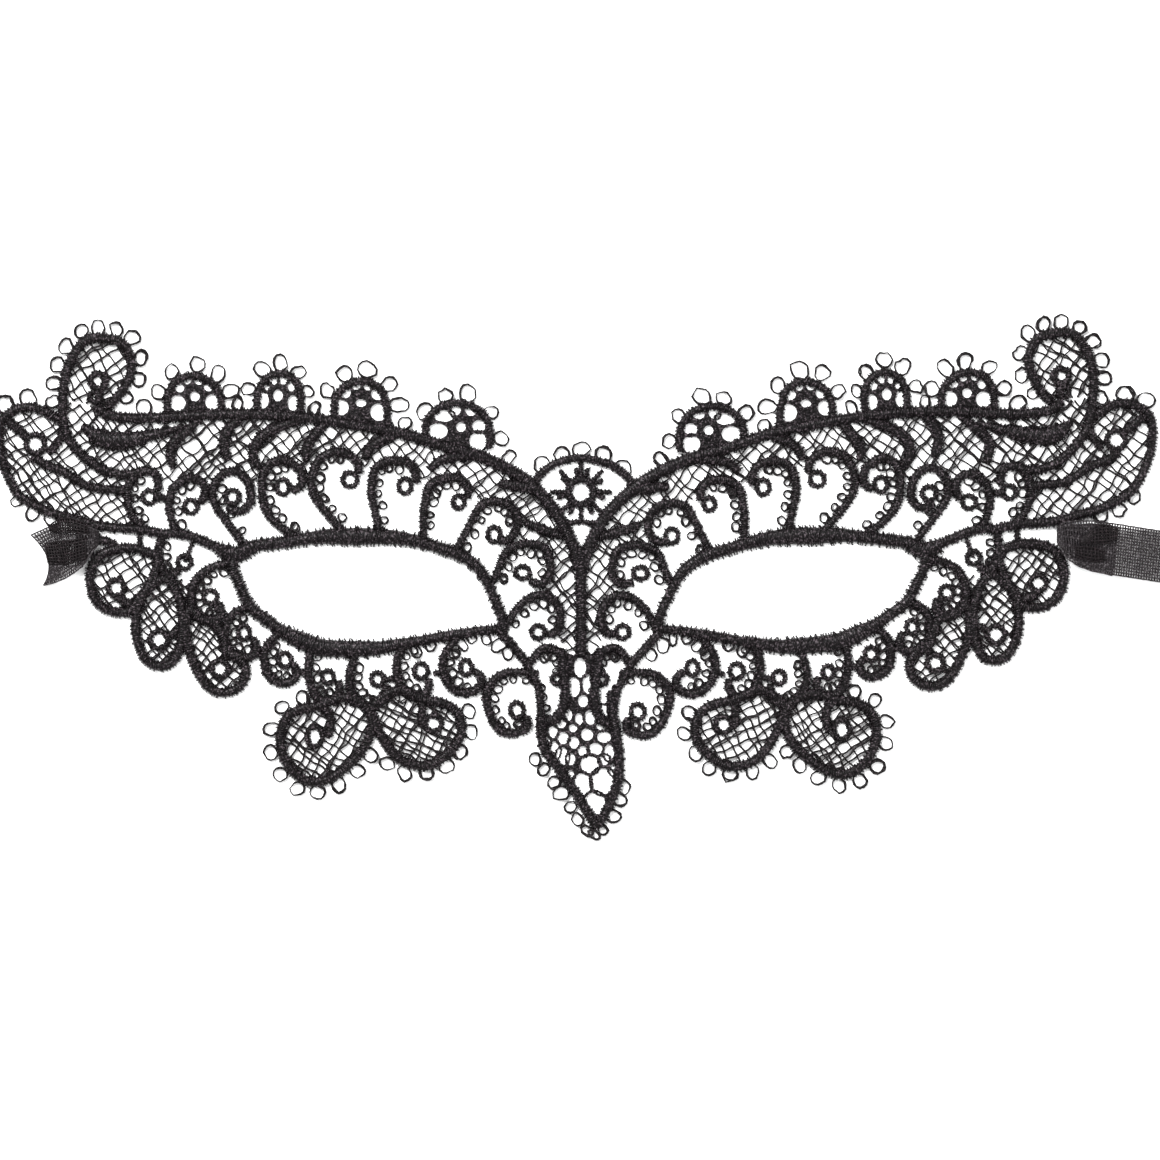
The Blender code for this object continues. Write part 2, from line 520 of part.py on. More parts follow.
def add_tie_bar(lace, side, collection):
    """A bar of thread from the wing's lower cord to the first petal, over a ribbon's lower layer."""
    start, end = bar_ends(side)
    bpy.ops.mesh.primitive_cylinder_add(
        vertices=8, radius=tie_bar_diameter / 2, depth=np.linalg.norm(end - start),
        location=(*((start + end) / 2), bar_level()), rotation=(np.pi / 2, 0, 0),
    )
    bar = bpy.context.active_object
    bar.name = "bar_cutter" + ("_left" if side < 0 else "_right")
    for holder in bar.users_collection:
        holder.objects.unlink(bar)
    collection.objects.link(bar)
    bar.hide_render = True
    bar.display_type = "WIRE"
    union = lace.modifiers.new(bar.name, "BOOLEAN")
    union.operation = "UNION"
    union.object = bar


def spread(rows, per_span=2):
    """Ribbon rows with per_span rows for each one in the table: (top, bottom, lift, notch) as one array."""
    table = np.array([(*row.top, *row.bottom, row.lift, row.notch) for row in rows], float)
    at = np.linspace(0, len(table) - 1, (len(table) - 1) * per_span + 1)
    return np.column_stack([np.interp(at, range(len(table)), column) for column in table.T])


def ribbon_mesh(name, upper, lower, side):
    """A ribbon's surface: its lower layer, the half turn round the bar and its upper layer, row by row. In the
    second half of the turn it fans out from the lower layer's width to the upper layer's."""
    low = ribbon_thickness / 2
    high = bar_level() + tie_bar_diameter / 2 + ribbon_clearance + ribbon_thickness / 2
    bar_out = abs(bar_ends(side)[0][0]) / STEP_OUT
    upper, lower = spread(upper), spread(lower)
    lower[0, [0, 2]] = bar_out
    turn = []
    for i in range(1, LOOP_TURNS):
        angle = np.pi * i / LOOP_TURNS
        fan = max(2 * i / LOOP_TURNS - 1, 0) ** 2
        row = lower[0] + (upper[0] - lower[0]) * fan
        row[[0, 2]] -= np.sin(angle) * (high - low) / 2 / STEP_OUT
        row[4] = (1 - np.cos(angle)) / 2
        turn.append(row)
    rows = np.vstack((lower[::-1], turn, upper))
    across = np.linspace(0, 1, RIBBON_SPAN + 1)
    points = []
    for top_out, top_up, bottom_out, bottom_up, lift, notch in rows:
        out = top_out + (bottom_out - top_out) * across - notch * 4 * across * (1 - across)
        up = top_up + (bottom_up - top_up) * across
        flat = np.column_stack((side * out, up)) * (STEP_OUT, STEP_UP)
        points.extend((x, y, low + (high - low) * lift) for x, y in flat)
    count = RIBBON_SPAN + 1
    faces = [
        (r * count + c, r * count + c + 1, (r + 1) * count + c + 1, (r + 1) * count + c)
        for r in range(len(rows) - 1) for c in range(RIBBON_SPAN)
    ]
    mesh = bpy.data.meshes.new(name)
    mesh.from_pydata(points, [], faces)
    mesh.update()
    return mesh


def make_lace(collection, cutters, material):
    drawing = Drawing()
    for side in (-1, 1):
        draw_half(drawing, side)
    draw_middle(drawing)
    flat = drawing.filled()
    merge_flat(flat, np.radians(7))
    raise_lace(flat)
    merge_flat(flat, np.radians(0.05))
    bmesh.ops.triangulate(flat, faces=flat.faces[:])
    mesh = bpy.data.meshes.new("lace_mask")
    flat.to_mesh(mesh)
    flat.free()
    lace = new_object("lace_mask", mesh, collection, material)
    for side in (-1, 1):
        add_tie_bar(lace, side, cutters)


def make_ribbons(collection, material):
    for name, upper, lower, side in (
        ("ribbon_tie_left", LEFT_UPPER, LEFT_LOWER, -1),
        ("ribbon_tie_right", RIGHT_UPPER, RIGHT_LOWER, 1),
    ):
        ribbon = new_object(name, ribbon_mesh(name, upper, lower, side), collection, material)
        wall = ribbon.modifiers.new("thickness", "SOLIDIFY")
        wall.thickness = ribbon_thickness
        wall.offset = 0


def main():
    for old in list(bpy.data.objects):
        bpy.data.objects.remove(old)
    mask = bpy.data.collections.new("butterfly_eye_mask")
    cutters = bpy.data.collections.new("cutters")
    for collection in (mask, cutters):
        bpy.context.scene.collection.children.link(collection)
    make_lace(mask, cutters, cloth_material("lace_thread", (0.030, 0.026, 0.029), 0.8))
    make_ribbons(mask, cloth_material("ribbon_weave", (0.070, 0.066, 0.068), 0.6))


main()
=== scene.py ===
"""The looks of the butterfly eye mask: black machine-embroidered lace with a ribbon end at each side, lying
flat on a pale table. Metres, +Z up. The lace's back lies on the table, +Y is towards the forehead and the
camera looks straight down."""

from collections import namedtuple

import bmesh
import bpy
import numpy as np
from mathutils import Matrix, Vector
from mathutils.geometry import delaunay_2d_cdt

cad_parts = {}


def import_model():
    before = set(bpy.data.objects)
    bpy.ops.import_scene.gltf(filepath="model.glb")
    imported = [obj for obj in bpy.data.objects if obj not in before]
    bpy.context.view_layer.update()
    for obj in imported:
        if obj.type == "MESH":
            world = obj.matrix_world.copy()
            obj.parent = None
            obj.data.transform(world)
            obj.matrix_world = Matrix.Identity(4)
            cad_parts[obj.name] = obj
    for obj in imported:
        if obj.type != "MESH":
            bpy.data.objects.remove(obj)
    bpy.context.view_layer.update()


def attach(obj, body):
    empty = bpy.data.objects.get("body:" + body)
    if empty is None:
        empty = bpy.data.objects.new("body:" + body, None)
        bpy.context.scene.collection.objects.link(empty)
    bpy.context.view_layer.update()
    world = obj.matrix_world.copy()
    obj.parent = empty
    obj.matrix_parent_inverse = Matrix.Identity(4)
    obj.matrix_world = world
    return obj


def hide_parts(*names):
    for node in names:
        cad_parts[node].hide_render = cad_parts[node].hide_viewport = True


# Driving sizes, in metres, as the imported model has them
mask_width = 0.2400
mask_height = 0.1073
cord_width = 0.0018
petal_cord_width = 0.0020
centre_ring_hole = 0.0034
ring_share = 0.68  # the wall of a ring, as a share of the cord's width
ribbon_width = 0.0102
ribbon_low_level = 0.00032  # a ribbon's lower layer
ribbon_flat_level = 0.00072  # its upper layer, where it lies on the table
ribbon_over_level = 0.0028  # its upper layer, where it has come back over the bar
bar_level = 0.00175

# Threads and stitches, in metres
cord_rise = 0.00150  # the most that a cord's padding stands above its underside
back_clearance = 0.00006  # from the table to the undersides of the stitches
stitch_radius = 0.00018
stitch_pitch = 0.00044  # from one stitch to the next along a cord
net_radius = 0.00026
picot_radius = 0.00030
bar_radius = 0.00022  # each of the three strands of a ribbon's bar
net_level = 0.00055  # the nets and picots lie half way up the cords
plate_low, plate_high = 0.00025, 0.00085  # the two faces of the rosettes' and the nose's close stitching
weave_pitch = 0.00054  # from one thread of a ribbon to the next
weave_rise = 0.00007  # how far a ribbon's threads bend over and under each other
weave_radius = 0.00018
pleat_depth = 0.0011

# The photograph's frame, in steps from the origin
FRAME_STEPS = 1160
FRAME_CENTRE = (-1, 0)

# The pattern is drafted on a grid. "out" counts its steps from the centre line, of which half the mask's
# width holds 586, and "up" its steps above the origin, of which the mask's height holds 524.
GRID_OUT = 586
GRID_UP = 524
STEP_OUT = mask_width / 2 / GRID_OUT
STEP_UP = mask_height / GRID_UP
STEP = (STEP_OUT + STEP_UP) / 2

# A scroll's points are read on the outer side of its cord, so its middle lies a little nearer its ring.
INWARD = 1.5
SIDEWAYS = -0.8

Cord = namedtuple("Cord", "name widths points")
Scroll = namedtuple("Scroll", "name ring hole points")
Arch = namedtuple("Arch", "name rim holes")
Lay = namedtuple("Lay", "out up shift_out shift_up")
Fold = namedtuple("Fold", "top bottom lift notch")

# Widths are steps, spread evenly along the cord, and points are (out, up).
CORDS = (
    Cord("brow", (10, 11, 11, 11, 12, 13, 12),
         ((486, 174), (469, 164), (431, 162), (381, 165), (331, 166), (281, 163), (231, 156),
          (181, 147), (141, 135), (101, 124), (61, 104), (41, 87), (23, 64), (9, 37), (1, 10))),
    Cord("curl", (9, 10, 10, 9),
         ((519, 180), (516, 200), (510, 220), (496, 239), (481, 242), (458, 236), (449, 215),
          (456, 193), (473, 172))),
    Cord("stem", (10, 10, 9),
         ((518, 188), (517, 154), (507, 134), (494, 121), (477, 110), (455, 105), (437, 110))),
    Cord("leaf", (5, 19, 20, 14, 8, 3),
         ((499, 155), (484, 143), (467, 139), (446, 141), (421, 147), (395, 154))),
    Cord("wing_rib", (9, 9), ((549, 124), (535, 115), (520, 110), (501, 98), (485, 92), (450, 89))),
    Cord("lobe", (10, 9, 9, 10, 10, 10),
         ((522, 160), (537, 169), (553, 173), (568, 169), (580, 158), (582, 140), (579, 120),
          (571, 100), (562, 85), (548, 76), (529, 67), (507, 61), (485, 55), (463, 52), (441, 51),
          (418, 46), (409, 47), (391, 44), (371, 36), (350, 26))),
    Cord("lobe_tail", (10, 9), ((574, 160), (563, 151), (553, 143))),
    Cord("lobe_side", (8, 7), ((518, 150), (522, 138), (532, 126))),
    Cord("petal_bride", (5, 5), ((441, 54), (441, 30))),
    Cord("rim_side", (8, 8, 8), ((54, -84), (44, -104), (41, -120), (40, -136), (40, -150))),
    Cord("bridge", (9, 9, 9), ((82, -50), (69, -65), (59, -77), (50, -88))),
    Cord("nostril", (10, 11), ((20, -68), (17, -95), (16, -120), (24, -138), (38, -142))),
)
SPINE = Cord("spine", (13, 11, 12), ((0, 34), (0, -40), (0, -78)))
RIM = (
    Cord("rim_top", (12, 12, 12, 12, 16, 18, 16, 13, 11, 12, 11, 9, 9, 9),
         ((345, 22), (331, 33), (301, 37), (261, 43), (231, 43.5), (201, 43.5), (181, 42), (161, 38),
          (141, 32), (121, 25), (105, 14), (96, 2), (88, -15), (80, -35), (77, -52))),
    Cord("rim_bottom", (8, 8, 10, 10, 9, 12, 16, 17, 18, 18, 11, 11, 10, 9, 11),
         ((77, -49), (101, -50.5), (115, -53), (140, -57), (165, -61.5), (182, -64), (201, -68),
          (223, -69), (248, -68.5), (265, -66.5), (293, -54.5), (313, -41), (331, -26), (341, -5),
          (348, 12), (346, 24))),
    Cord("outer_corner", (18, 14), ((362, 31), (345, 25), (326, 34))),
)
FEATHERS = (
    Cord("feather_1", (5, 10, 11, 11, 6), ((378, 163), (396, 147), (407, 138), (410, 127), (408, 111))),
    Cord("feather_2", (6, 11, 11, 9), ((339, 163), (352, 152), (357, 141), (356, 130), (352, 119))),
    Cord("feather_3", (6, 11, 12, 11, 7),
         ((277, 161), (301, 153), (317, 145), (326, 134), (327, 121), (320, 111))),
    Cord("feather_4", (6, 11, 11, 8), ((252, 159), (263, 149), (271, 138), (276, 128), (274, 119))),
    Cord("feather_5", (6, 11, 9), ((178, 146), (196, 141), (210, 133), (217, 120))),
    Cord("feather_6", (6, 11, 9), ((104, 123), (126, 123), (141, 119), (152, 110))),
    Cord("feather_7", (8, 13, 9), ((41, 90), (56, 93), (66, 94.5), (82, 96))),
    Cord("feather_8", (8, 11, 8), ((18, 43), (34, 49), (46, 53), (57, 58))),
)

# Each scroll rises from its foot, turns over its crown and curls in to its ring, of which hole gives the half
# sizes.
SCROLLS = (
    Scroll("wing_scroll", (431.5, 83), (4, 4),
           ((440, 52), (451, 64), (456, 84), (453, 99), (442, 109), (427, 109), (422, 95))),
    Scroll("eye_1", (390, 73.5), (4, 4),
           ((407, 47), (413, 66), (414, 80), (409, 93), (396, 103), (381, 101), (375, 90), (379, 79))),
    Scroll("eye_2", (348.5, 83), (4.2, 4.2),
           ((341, 38), (356, 58), (367, 73), (371, 88), (365, 102), (353, 110), (341, 108), (332, 97),
            (329, 82), (335, 70), (346, 67), (356, 72))),
    Scroll("eye_3", (298, 93), (3.5, 5),
           ((288, 43), (307, 56), (318, 71), (321, 87), (320, 106), (313, 117), (301, 122), (289, 118),
            (279, 108), (279, 95), (289, 87))),
    Scroll("eye_4", (231, 100.4), (4.5, 4.5),
           ((241, 49), (257, 67), (268, 82), (272, 95), (270, 109), (263, 122), (248, 130), (233, 127),
            (224, 119), (221, 107))),
    Scroll("eye_5", (176, 94), (3.5, 5),
           ((204, 47), (208, 69), (212, 85), (211, 100), (207, 113), (194, 120.5), (179, 120.5),
            (168, 115), (164, 101))),
    Scroll("eye_6", (122.3, 78), (3, 4),
           ((159, 42), (160, 63), (158, 78), (155, 93), (148, 100), (135, 104), (122, 103), (113, 93),
            (113, 82))),
    Scroll("eye_7", (87, 45.5), (3.5, 5),
           ((127, 30), (120, 43), (112, 58), (106, 70), (99, 78), (87, 80), (74, 78), (64, 66),
            (64, 50), (72, 40), (83, 37))),
    Scroll("inner_1", (58.5, 7.5), (4.5, 3.5),
           ((89, 0), (83, 16), (76, 30), (62, 37), (47, 37), (34, 31), (30, 16), (31, 3), (40, -5),
            (52, -2))),
    Scroll("inner_2", (43, -52), (4, 4),
           ((78, -48), (69, -32), (58, -20), (45, -13.5), (31, -16), (22, -26), (20, -38), (24, -52),
            (34, -55))),
    Scroll("nose_1", (24, -99), (2.5, 2.5),
           ((54, -84), (45, -71), (36, -66), (24, -70), (17, -79), (15, -93), (16, -106))),
    Scroll("nose_2", (64, -130), (4, 5),
           ((46, -92), (65, -90.5), (79, -92), (90, -100), (97, -113), (95, -129), (89, -144),
            (79, -154), (65, -154), (54, -149), (54, -136))),
    Scroll("low_1", (115, -87.5), (3, 5),
           ((124, -56), (137, -71), (141, -86), (137, -101), (127, -112), (114, -114.5), (102, -109),
            (99, -98), (107, -91))),
    Scroll("low_2", (160, -91), (4, 5),
           ((171, -60), (183, -71), (187, -86), (185, -101), (177, -113), (163, -118), (153, -111),
            (152, -99))),
    Scroll("low_3", (203.5, -99), (3.5, 4),
           ((226, -70), (234, -94), (231, -113), (220, -126), (207, -128), (196, -118), (194, -105))),
    Scroll("low_4", (253, -97), (3, 4),
           ((271, -62), (275, -86), (273, -104), (265, -120), (250, -122), (241, -112), (243, -101))),
    Scroll("low_5", (296, -80), (3.5, 4.5),
           ((302, -52), (315, -63), (319, -78), (315, -96), (300, -105), (287, -101), (284, -91),
            (289, -84))),
    Scroll("low_6", (337, -52.5), (3, 4.5),
           ((332, -25), (348, -31), (356, -43), (358, -60), (354, -71), (343, -77), (331, -79),
            (324, -70), (328, -58))),
    Scroll("low_7", (370.5, -17), (4, 4),
           ((350, 19), (368, 15), (382, 7), (391, -7), (392, -25), (384, -37), (372, -42), (360, -37),
            (361, -23))),
    Scroll("low_8", (396.5, 18), (4, 4), ((421, 46), (425, 26), (422, 11), (413, 2), (403, 10))),
)

# A petal is a closed loop of cord with a ring inside it.
PETALS = (
    Scroll("petal_1", (464.7, -7.7), (5, 5),
           ((424, 24), (434, 29), (446, 33), (463, 33), (479, 28), (489, 17), (493, 2), (489, -18),
            (477, -30), (462, -34), (449, -31), (442, -19), (433, -8), (425, 8))),
    Scroll("petal_2", (422, -59.6), (5.5, 5.5),
           ((422, 2), (434, -9), (443, -21), (447, -40), (446, -60), (439, -77), (431, -85),
            (421, -88), (409, -84), (401, -70), (398, -50), (399, -30), (403, -14), (412, 0))),
    Scroll("petal_3", (361, -88.7), (5, 5),
           ((393, -28), (397, -48), (394, -68), (389, -83), (382, -98), (373, -109), (361, -114),
            (348, -112), (338, -104), (334, -90), (341, -78), (354, -71), (359, -57), (366, -42),
            (382, -38))),
    Scroll("petal_4", (266, -156.5), (4.5, 7),
           ((262, -124), (283, -128), (297, -138), (303, -155), (300, -175), (291, -191),
            (277, -201), (263, -203), (247, -197), (231, -185), (216, -167), (209, -148),
            (213, -128), (235, -116))),
    Scroll("petal_5", (147.5, -143.5), (5, 5),
           ((211, -126), (208, -142), (201, -158), (191.5, -172), (180, -182), (165, -186.5),
            (150, -186), (137, -177.5), (125, -166), (119, -153), (120, -139), (127, -128),
            (140, -121), (160, -118), (186, -109))),
)
LINKS = (
    Cord("ring_link_3", (8, 8), ((352, -72), (356, -80))),
    Cord("ring_link_4", (9, 9, 9), ((262, -124), (252, -133), (250, -146), (254, -158))),
    Cord("ring_link_5", (8, 9, 8), ((158, -118), (159, -134), (158, -148))),
    Cord("ring_link_7", (8, 8), ((366, -22), (360, -34))),
    Cord("ring_link_8", (4, 4), ((396, 18), (388, 38))),
    Cord("ring_link_wing", (8, 8), ((428, 83), (415, 82))),
    Cord("ring_link_1", (9, 9, 9), ((464, -16), (452, -24), (446, -22))),
    Cord("ring_link_2", (8, 8), ((413, -56), (402, -50))),
    Cord("curl_ring_link", (9, 9), ((482, 190), (482, 176))),
    Cord("low_bride_1", (6, 6), ((148, -94), (140, -92))),
    Cord("low_bride_2", (6, 6), ((196, -100), (187, -98))),
    Cord("low_bride_4", (6, 6), ((320, -76), (326, -72))),
    Cord("low_bride_5", (6, 6), ((286, -92), (275, -92))),
)
LOOSE_RINGS = (
    Scroll("curl_ring", (482, 199), (4.5, 4.5), ()),
    Scroll("lobe_ring", (545.5, 136), (6, 6), ()),
)

# A rosette stands on the brow: an arch of cord round a plate with (out, up, half width, half height) holes.
ROSETTES = (
    Arch("rosette_1",
         ((414, 166), (413, 184), (406, 198), (392, 204), (378, 202), (366, 194), (360, 182), (360, 167)),
         ((386, 183.5, 4, 4), (403, 177, 7, 7), (368, 178, 7, 7), (401, 192, 3.5, 3.5),
          (394, 200, 3.5, 3.5), (381, 200, 5, 4), (372, 194, 4.5, 4.5))),
    Arch("rosette_2",
         ((323, 166), (324, 182), (318, 198), (306, 206), (293, 205), (283, 196), (280, 182), (281, 166)),
         ((303, 184.5, 4, 5), (318, 180, 5, 8), (288, 177, 4.5, 7), (316, 194, 4, 4),
          (308, 200, 4, 4), (297.5, 200, 3.5, 3.5), (289.5, 194, 3, 4.5))),
    Arch("rosette_3",
         ((247, 158), (246, 178), (239, 191), (226, 198), (212, 198), (200, 190), (195, 176),
          (193, 160), (192, 149)),
         ((220, 177, 4.5, 3), (240, 172.5, 7, 7), (202, 168, 8, 8), (236, 187.5, 5, 5),
          (225, 195, 4, 4), (213, 194, 3.5, 3.5), (203, 186, 6, 5))),
    Arch("rosette_4",
         ((156, 140), (154, 160), (142, 172), (126, 177), (109, 174), (97, 165), (91, 151), (92, 131)),
         ((120, 153, 4, 4), (137, 164, 9, 5), (125.5, 170, 4.5, 4.5), (110, 169, 5, 4),
          (102, 154, 6, 5), (103, 139, 8, 8), (143, 149, 9, 7))),
)

# The rosette on the centre line: a ring with spokes, under an arch from brow to brow
CENTRE_RING = (0, 88)
CENTRE_RING_WIDTH = 8.5
CENTRE_SPOKES = 8
CENTRE_SPOKE_END = 31
CENTRE_ARCH = ((47, 95), (44, 101), (36, 110), (22, 118), (0, 122))
CENTRE_BAR = ((17, 57), (0, 58))

# Grounds of net: each is (name, corners), a corner lying on the middle of a cord.
NETS = (
    ("brow_net",
     ((481, 173), (469, 164), (431, 162), (381, 165), (331, 166), (281, 163), (231, 156), (181, 147),
      (141, 135), (101, 124), (61, 104), (41, 87), (23, 64), (9, 37), (0, 10), (0, -73), (8, -79), (20, -73),
      (23, -50), (20, -38), (23, -27), (32, -17), (44, -8), (32, 2), (31, 15), (36, 30), (48, 36),
      (62, 40), (65, 60), (75, 77), (87, 79), (100, 77), (112, 90), (122, 102), (135, 103), (149, 99),
      (160, 100), (169, 114), (180, 119), (194, 119), (206, 112), (216, 112), (226, 118), (234, 126),
      (248, 128), (262, 121), (272, 105), (290, 117), (301, 120), (312, 116), (328, 96), (340, 106),
      (353, 108), (364, 101), (374, 92), (382, 100), (396, 102), (408, 92), (420, 94), (428, 107),
      (437, 109), (455, 105), (477, 110), (494, 121), (507, 134), (517, 154), (519, 180))),
    ("curl_net",
     ((519, 180), (516, 200), (510, 220), (496, 239), (481, 242), (458, 236), (449, 215), (456, 193),
      (473, 172))),
    ("wing_net",
     ((522, 160), (537, 169), (553, 173), (568, 169), (580, 158), (582, 140), (579, 120), (571, 100),
      (562, 85), (548, 76), (529, 67), (507, 61), (485, 55), (463, 52), (444, 52), (452, 66),
      (455, 84), (452, 103), (477, 110), (494, 121), (507, 134), (517, 154))),
    ("petal_join_net", ((396, 2), (412, 0), (403, -14), (399, -30), (393, -28), (391, -8))),
    ("petal_4_net", ((213, -128), (235, -116), (262, -118), (262, -126))),
    ("petal_5_net", ((211, -126), (186, -109), (160, -116), (158, -122))),
)

# The nose: a plate between two edges, pierced by cells of (out, up, half width, half height)
NOSE_PLATE_TOP = ((6, -76), (20, -70), (17, -95), (16, -120), (24, -138))
NOSE_LEFT = ((40, -134), (40, -150), (37, -168), (27, -182), (16, -197), (5, -213), (-5, -229), (-16, -247))
NOSE_RIGHT = ((-30, -110), (-31, -125), (-33, -142), (-36, -158), (-38, -175), (-38.5, -190),
              (-36, -205), (-30, -220), (-24, -233), (-15, -248))
NOSE_EDGE_WIDTH = 10
NOSE_CELLS = (
    (1, -87.5, 5, 9), (-9, -104, 7, 9), (7, -107, 5, 9), (-2, -121, 4, 5), (-13, -122, 3, 5),
    (-23, -131, 3, 5), (-10, -137, 5.5, 6.5), (13, -135, 3, 5), (2, -139, 3, 5), (20, -143, 4, 4),
    (-21, -145, 5, 4), (28, -152, 3.5, 5), (8, -148, 3, 3), (18, -158, 4.5, 5), (-6, -154.5, 5, 5),
    (-23, -157, 6, 4.5), (7, -162.5, 4, 5), (26.5, -170, 4, 8), (35, -162, 3, 6), (18.5, -176, 4.5, 8),
    (10, -179, 3, 5), (-2, -171, 4, 4), (-14.5, -169, 6, 5), (-28, -172, 4, 7), (-9, -184, 8.5, 8),
    (-23, -180, 4, 4), (-33, -189, 3.5, 5), (10.5, -195, 2.5, 4), (-1, -204, 8, 10),
    (-22, -201, 11, 12), (-13.6, -224, 10, 11),
)

# How the other half lies, beside the mirror of the first
LAY = (
    Lay(124, 149, 7.8, -3.5), Lay(219, 176, 4.7, -0.6), Lay(302, 187, 2.5, 1), Lay(386, 187, -0.5, 3.6),
    Lay(482, 215, -2, 5), Lay(545, 136, -11, 4), Lay(425, 70, -3.6, 5), Lay(348, 83, 0.3, 3.5),
    Lay(231, 100, 5.3, 0.6), Lay(122, 78, 6, -2), Lay(58, 7, 2, -1.4), Lay(43, -52, -2, 1),
    Lay(79, -48, -0.7, 0), Lay(150, -58, -3, 0), Lay(347, 10, -4, 4), Lay(260, -69, -6, 6),
    Lay(465, -8, -8, 4.5), Lay(361, -80, -7, 6), Lay(266, -156, -5, 7.5), Lay(203, -99, -6.5, 1),
    Lay(150, -130, -4.5, -1.5), Lay(64, -130, -9, -2),
)
LAY_REACH = 55
LAY_FADE = 40

# The ribbons, a row for each fold across them: its two edges (out, up), its lift from 0 on the table to 1 on
# the bar, and how far the middle of the row lies back from its edges, in steps. All start at the loop.
TIE_BAR = ((488, 55), (488, 20))
LEFT_UPPER = (
    Fold((488, 52), (492, 21), 1, 0), Fold((499, 54), (498, 13), 1, 0), Fold((509, 55), (505, 8), 0.75, 0),
    Fold((520, 55), (515, 2), 0.2, 0), Fold((534, 52), (526, -2.5), 0, 4),
    Fold((549.5, 45), (537.5, -5.5), 0, 11),
)
LEFT_LOWER = (
    Fold((488, 49), (488, 36), 0, 0), Fold((500, 50), (498, 19), 0, 0), Fold((505, 50), (502, 16), 0, 0),
)
RIGHT_UPPER = (
    Fold((480, 57), (484, 22), 1, 0), Fold((494, 59), (496, 14), 1, 0), Fold((509, 59), (510, 9), 1, 0),
    Fold((529, 56.5), (526, 6), 1, 0), Fold((546, 54), (541, 4), 0.5, 0), Fold((562, 51.5), (557, 1.5), 0, 0),
    Fold((586, 48), (581, -2.2), 0, 0),
)
RIGHT_LOWER = (
    Fold((480, 53), (480, 37), 0, 0), Fold((494, 54), (495, 17), 0, 0), Fold((511, 55), (511, 10), 0, 0),
    Fold((537, 53), (531, 4.5), 0, 0),
)
LOOP_TURNS = 6  # rows in the half turn round the bar

# Picots are loops of thread. These stand along the outer edge, as (out, up, radius).
OUTER_PICOTS = (
    (483, 253, 7), (464, 251, 6.5), (500, 248, 6.5), (515, 234, 7), (524, 215, 7), (528, 197, 7),
    (528, 178, 6.5), (448, 242, 7), (441, 222, 7), (442, 200, 7), (454, 182, 6), (438, 172, 8),
    (553, 181, 8.5), (576, 176, 8.5), (563, 79, 6.5), (548, 67, 7), (529, 61, 7),
    (424, 188, 7), (409, 208, 7), (384, 216, 7), (363, 209, 7), (350, 189, 7), (343, 178, 5),
    (334, 191, 6), (319, 212, 8), (300, 218, 7.5), (282, 207, 7), (273, 188, 6), (266, 174, 5),
    (253, 189, 7), (237, 208, 7), (214, 210, 9), (192, 196, 7.5), (179, 175, 7), (176, 157, 6),
    (157, 169, 8), (136, 184.5, 7), (113, 186, 8.5), (90, 167, 7), (81, 142, 7), (72, 124.4, 6),
    (299, -127, 6.5), (279, -117, 6.5), (310.5, -149, 7), (309.5, -172, 7), (301, -194, 7),
    (283, -208, 7), (263, -213, 7), (242, -205, 7), (223.5, -191, 7), (211, -175, 7),
    (113.5, -131, 7), (110, -152, 7), (120, -172, 7), (134, -187, 7), (154, -193, 7),
    (176.5, -193, 7), (194, -183, 7),
)
# Smaller ones under the eye's lower rim
RIM_PICOTS = (
    (151, -66, 5.5), (165, -72, 5), (108, -59, 5), (94, -61, 4), (84, -66, 6.5), (72, -74, 6),
    (127, -75, 4), (117, -67, 4),
)
# Those of the middle rosette and the nose, which are not repeated on the other half
MIDDLE_PICOTS = (
    (-39.4, 115, 8), (-18.4, 125.4, 8), (0.7, 130, 8), (21.8, 125.4, 8), (42.8, 113, 8),
    (-46, -180, 6), (-37, -189, 6), (-26.5, -201.5, 6), (-18, -212.5, 6), (-11, -226, 6), (-4, -240, 6),
    (44, -207, 6), (40, -220.5, 6), (34, -237, 6), (8, -252, 4), (15, -255, 3.5), (22, -251, 4.5),
)
# Those along the inner side of a scroll: how many, and the shares of its cord between which they stand
SCROLL_PICOTS = {
    "wing_scroll": (5, 0.04, 0.64), "eye_1": (5, 0.05, 0.66), "eye_2": (4, 0.05, 0.40),
    "eye_3": (8, 0.03, 0.71), "eye_4": (8, 0.06, 0.78), "eye_5": (7, 0.09, 0.77),
    "eye_6": (7, 0.11, 0.76), "eye_7": (7, 0.06, 0.75), "inner_1": (8, 0.04, 0.79),
    "inner_2": (6, 0.08, 0.80), "nose_1": (5, 0.22, 0.82), "nose_2": (10, 0.06, 0.95),
    "low_1": (5, 0.12, 0.68), "low_2": (6, 0.05, 0.70), "low_3": (6, 0.15, 0.75),
    "low_4": (6, 0.13, 0.78), "low_5": (6, 0.11, 0.73), "low_6": (6, 0.10, 0.77),
    "low_7": (8, 0.08, 0.78), "low_8": (4, 0.18, 0.82),
}
SCROLL_PICOT_RADIUS = 3.9
# Those beside the nose
SIDE_PICOTS = ((47, -100, 4), (40, -108, 3.6), (37, -118, 3.6), (35, -128, 3.6), (34, -139, 3.6))
PICOT_PLACES = 12  # points round a picot
EYELETS = ((484, 199, 4.2, 4.6), (486, 183, 2.8, 3.0))  # in the end of each curl: (out, up, half sizes)
KNOT = Cord("knot", (12, 9, 4), ((492, 41), (479, 40), (464, 37)))  # where the left ribbon is caught
CENTRE_CLUBS = (30, 72, 103, 145, 192, 241, 299, 348)  # where the short hooked stubs stand, in degrees
NET_SPACING = 9.8  # steps between the threads of a net
NET_PLACE = 2.6  # steps from point to point along a thread of it
NET_TURNS = {"brow_net": 40, "curl_net": 32, "wing_net": 38}  # degrees, and 45 for the rest
HOLE_MARGIN = 1.2  # how far the net's threads end outside an eyelet's hole, in steps
CORD_SIDES = 8
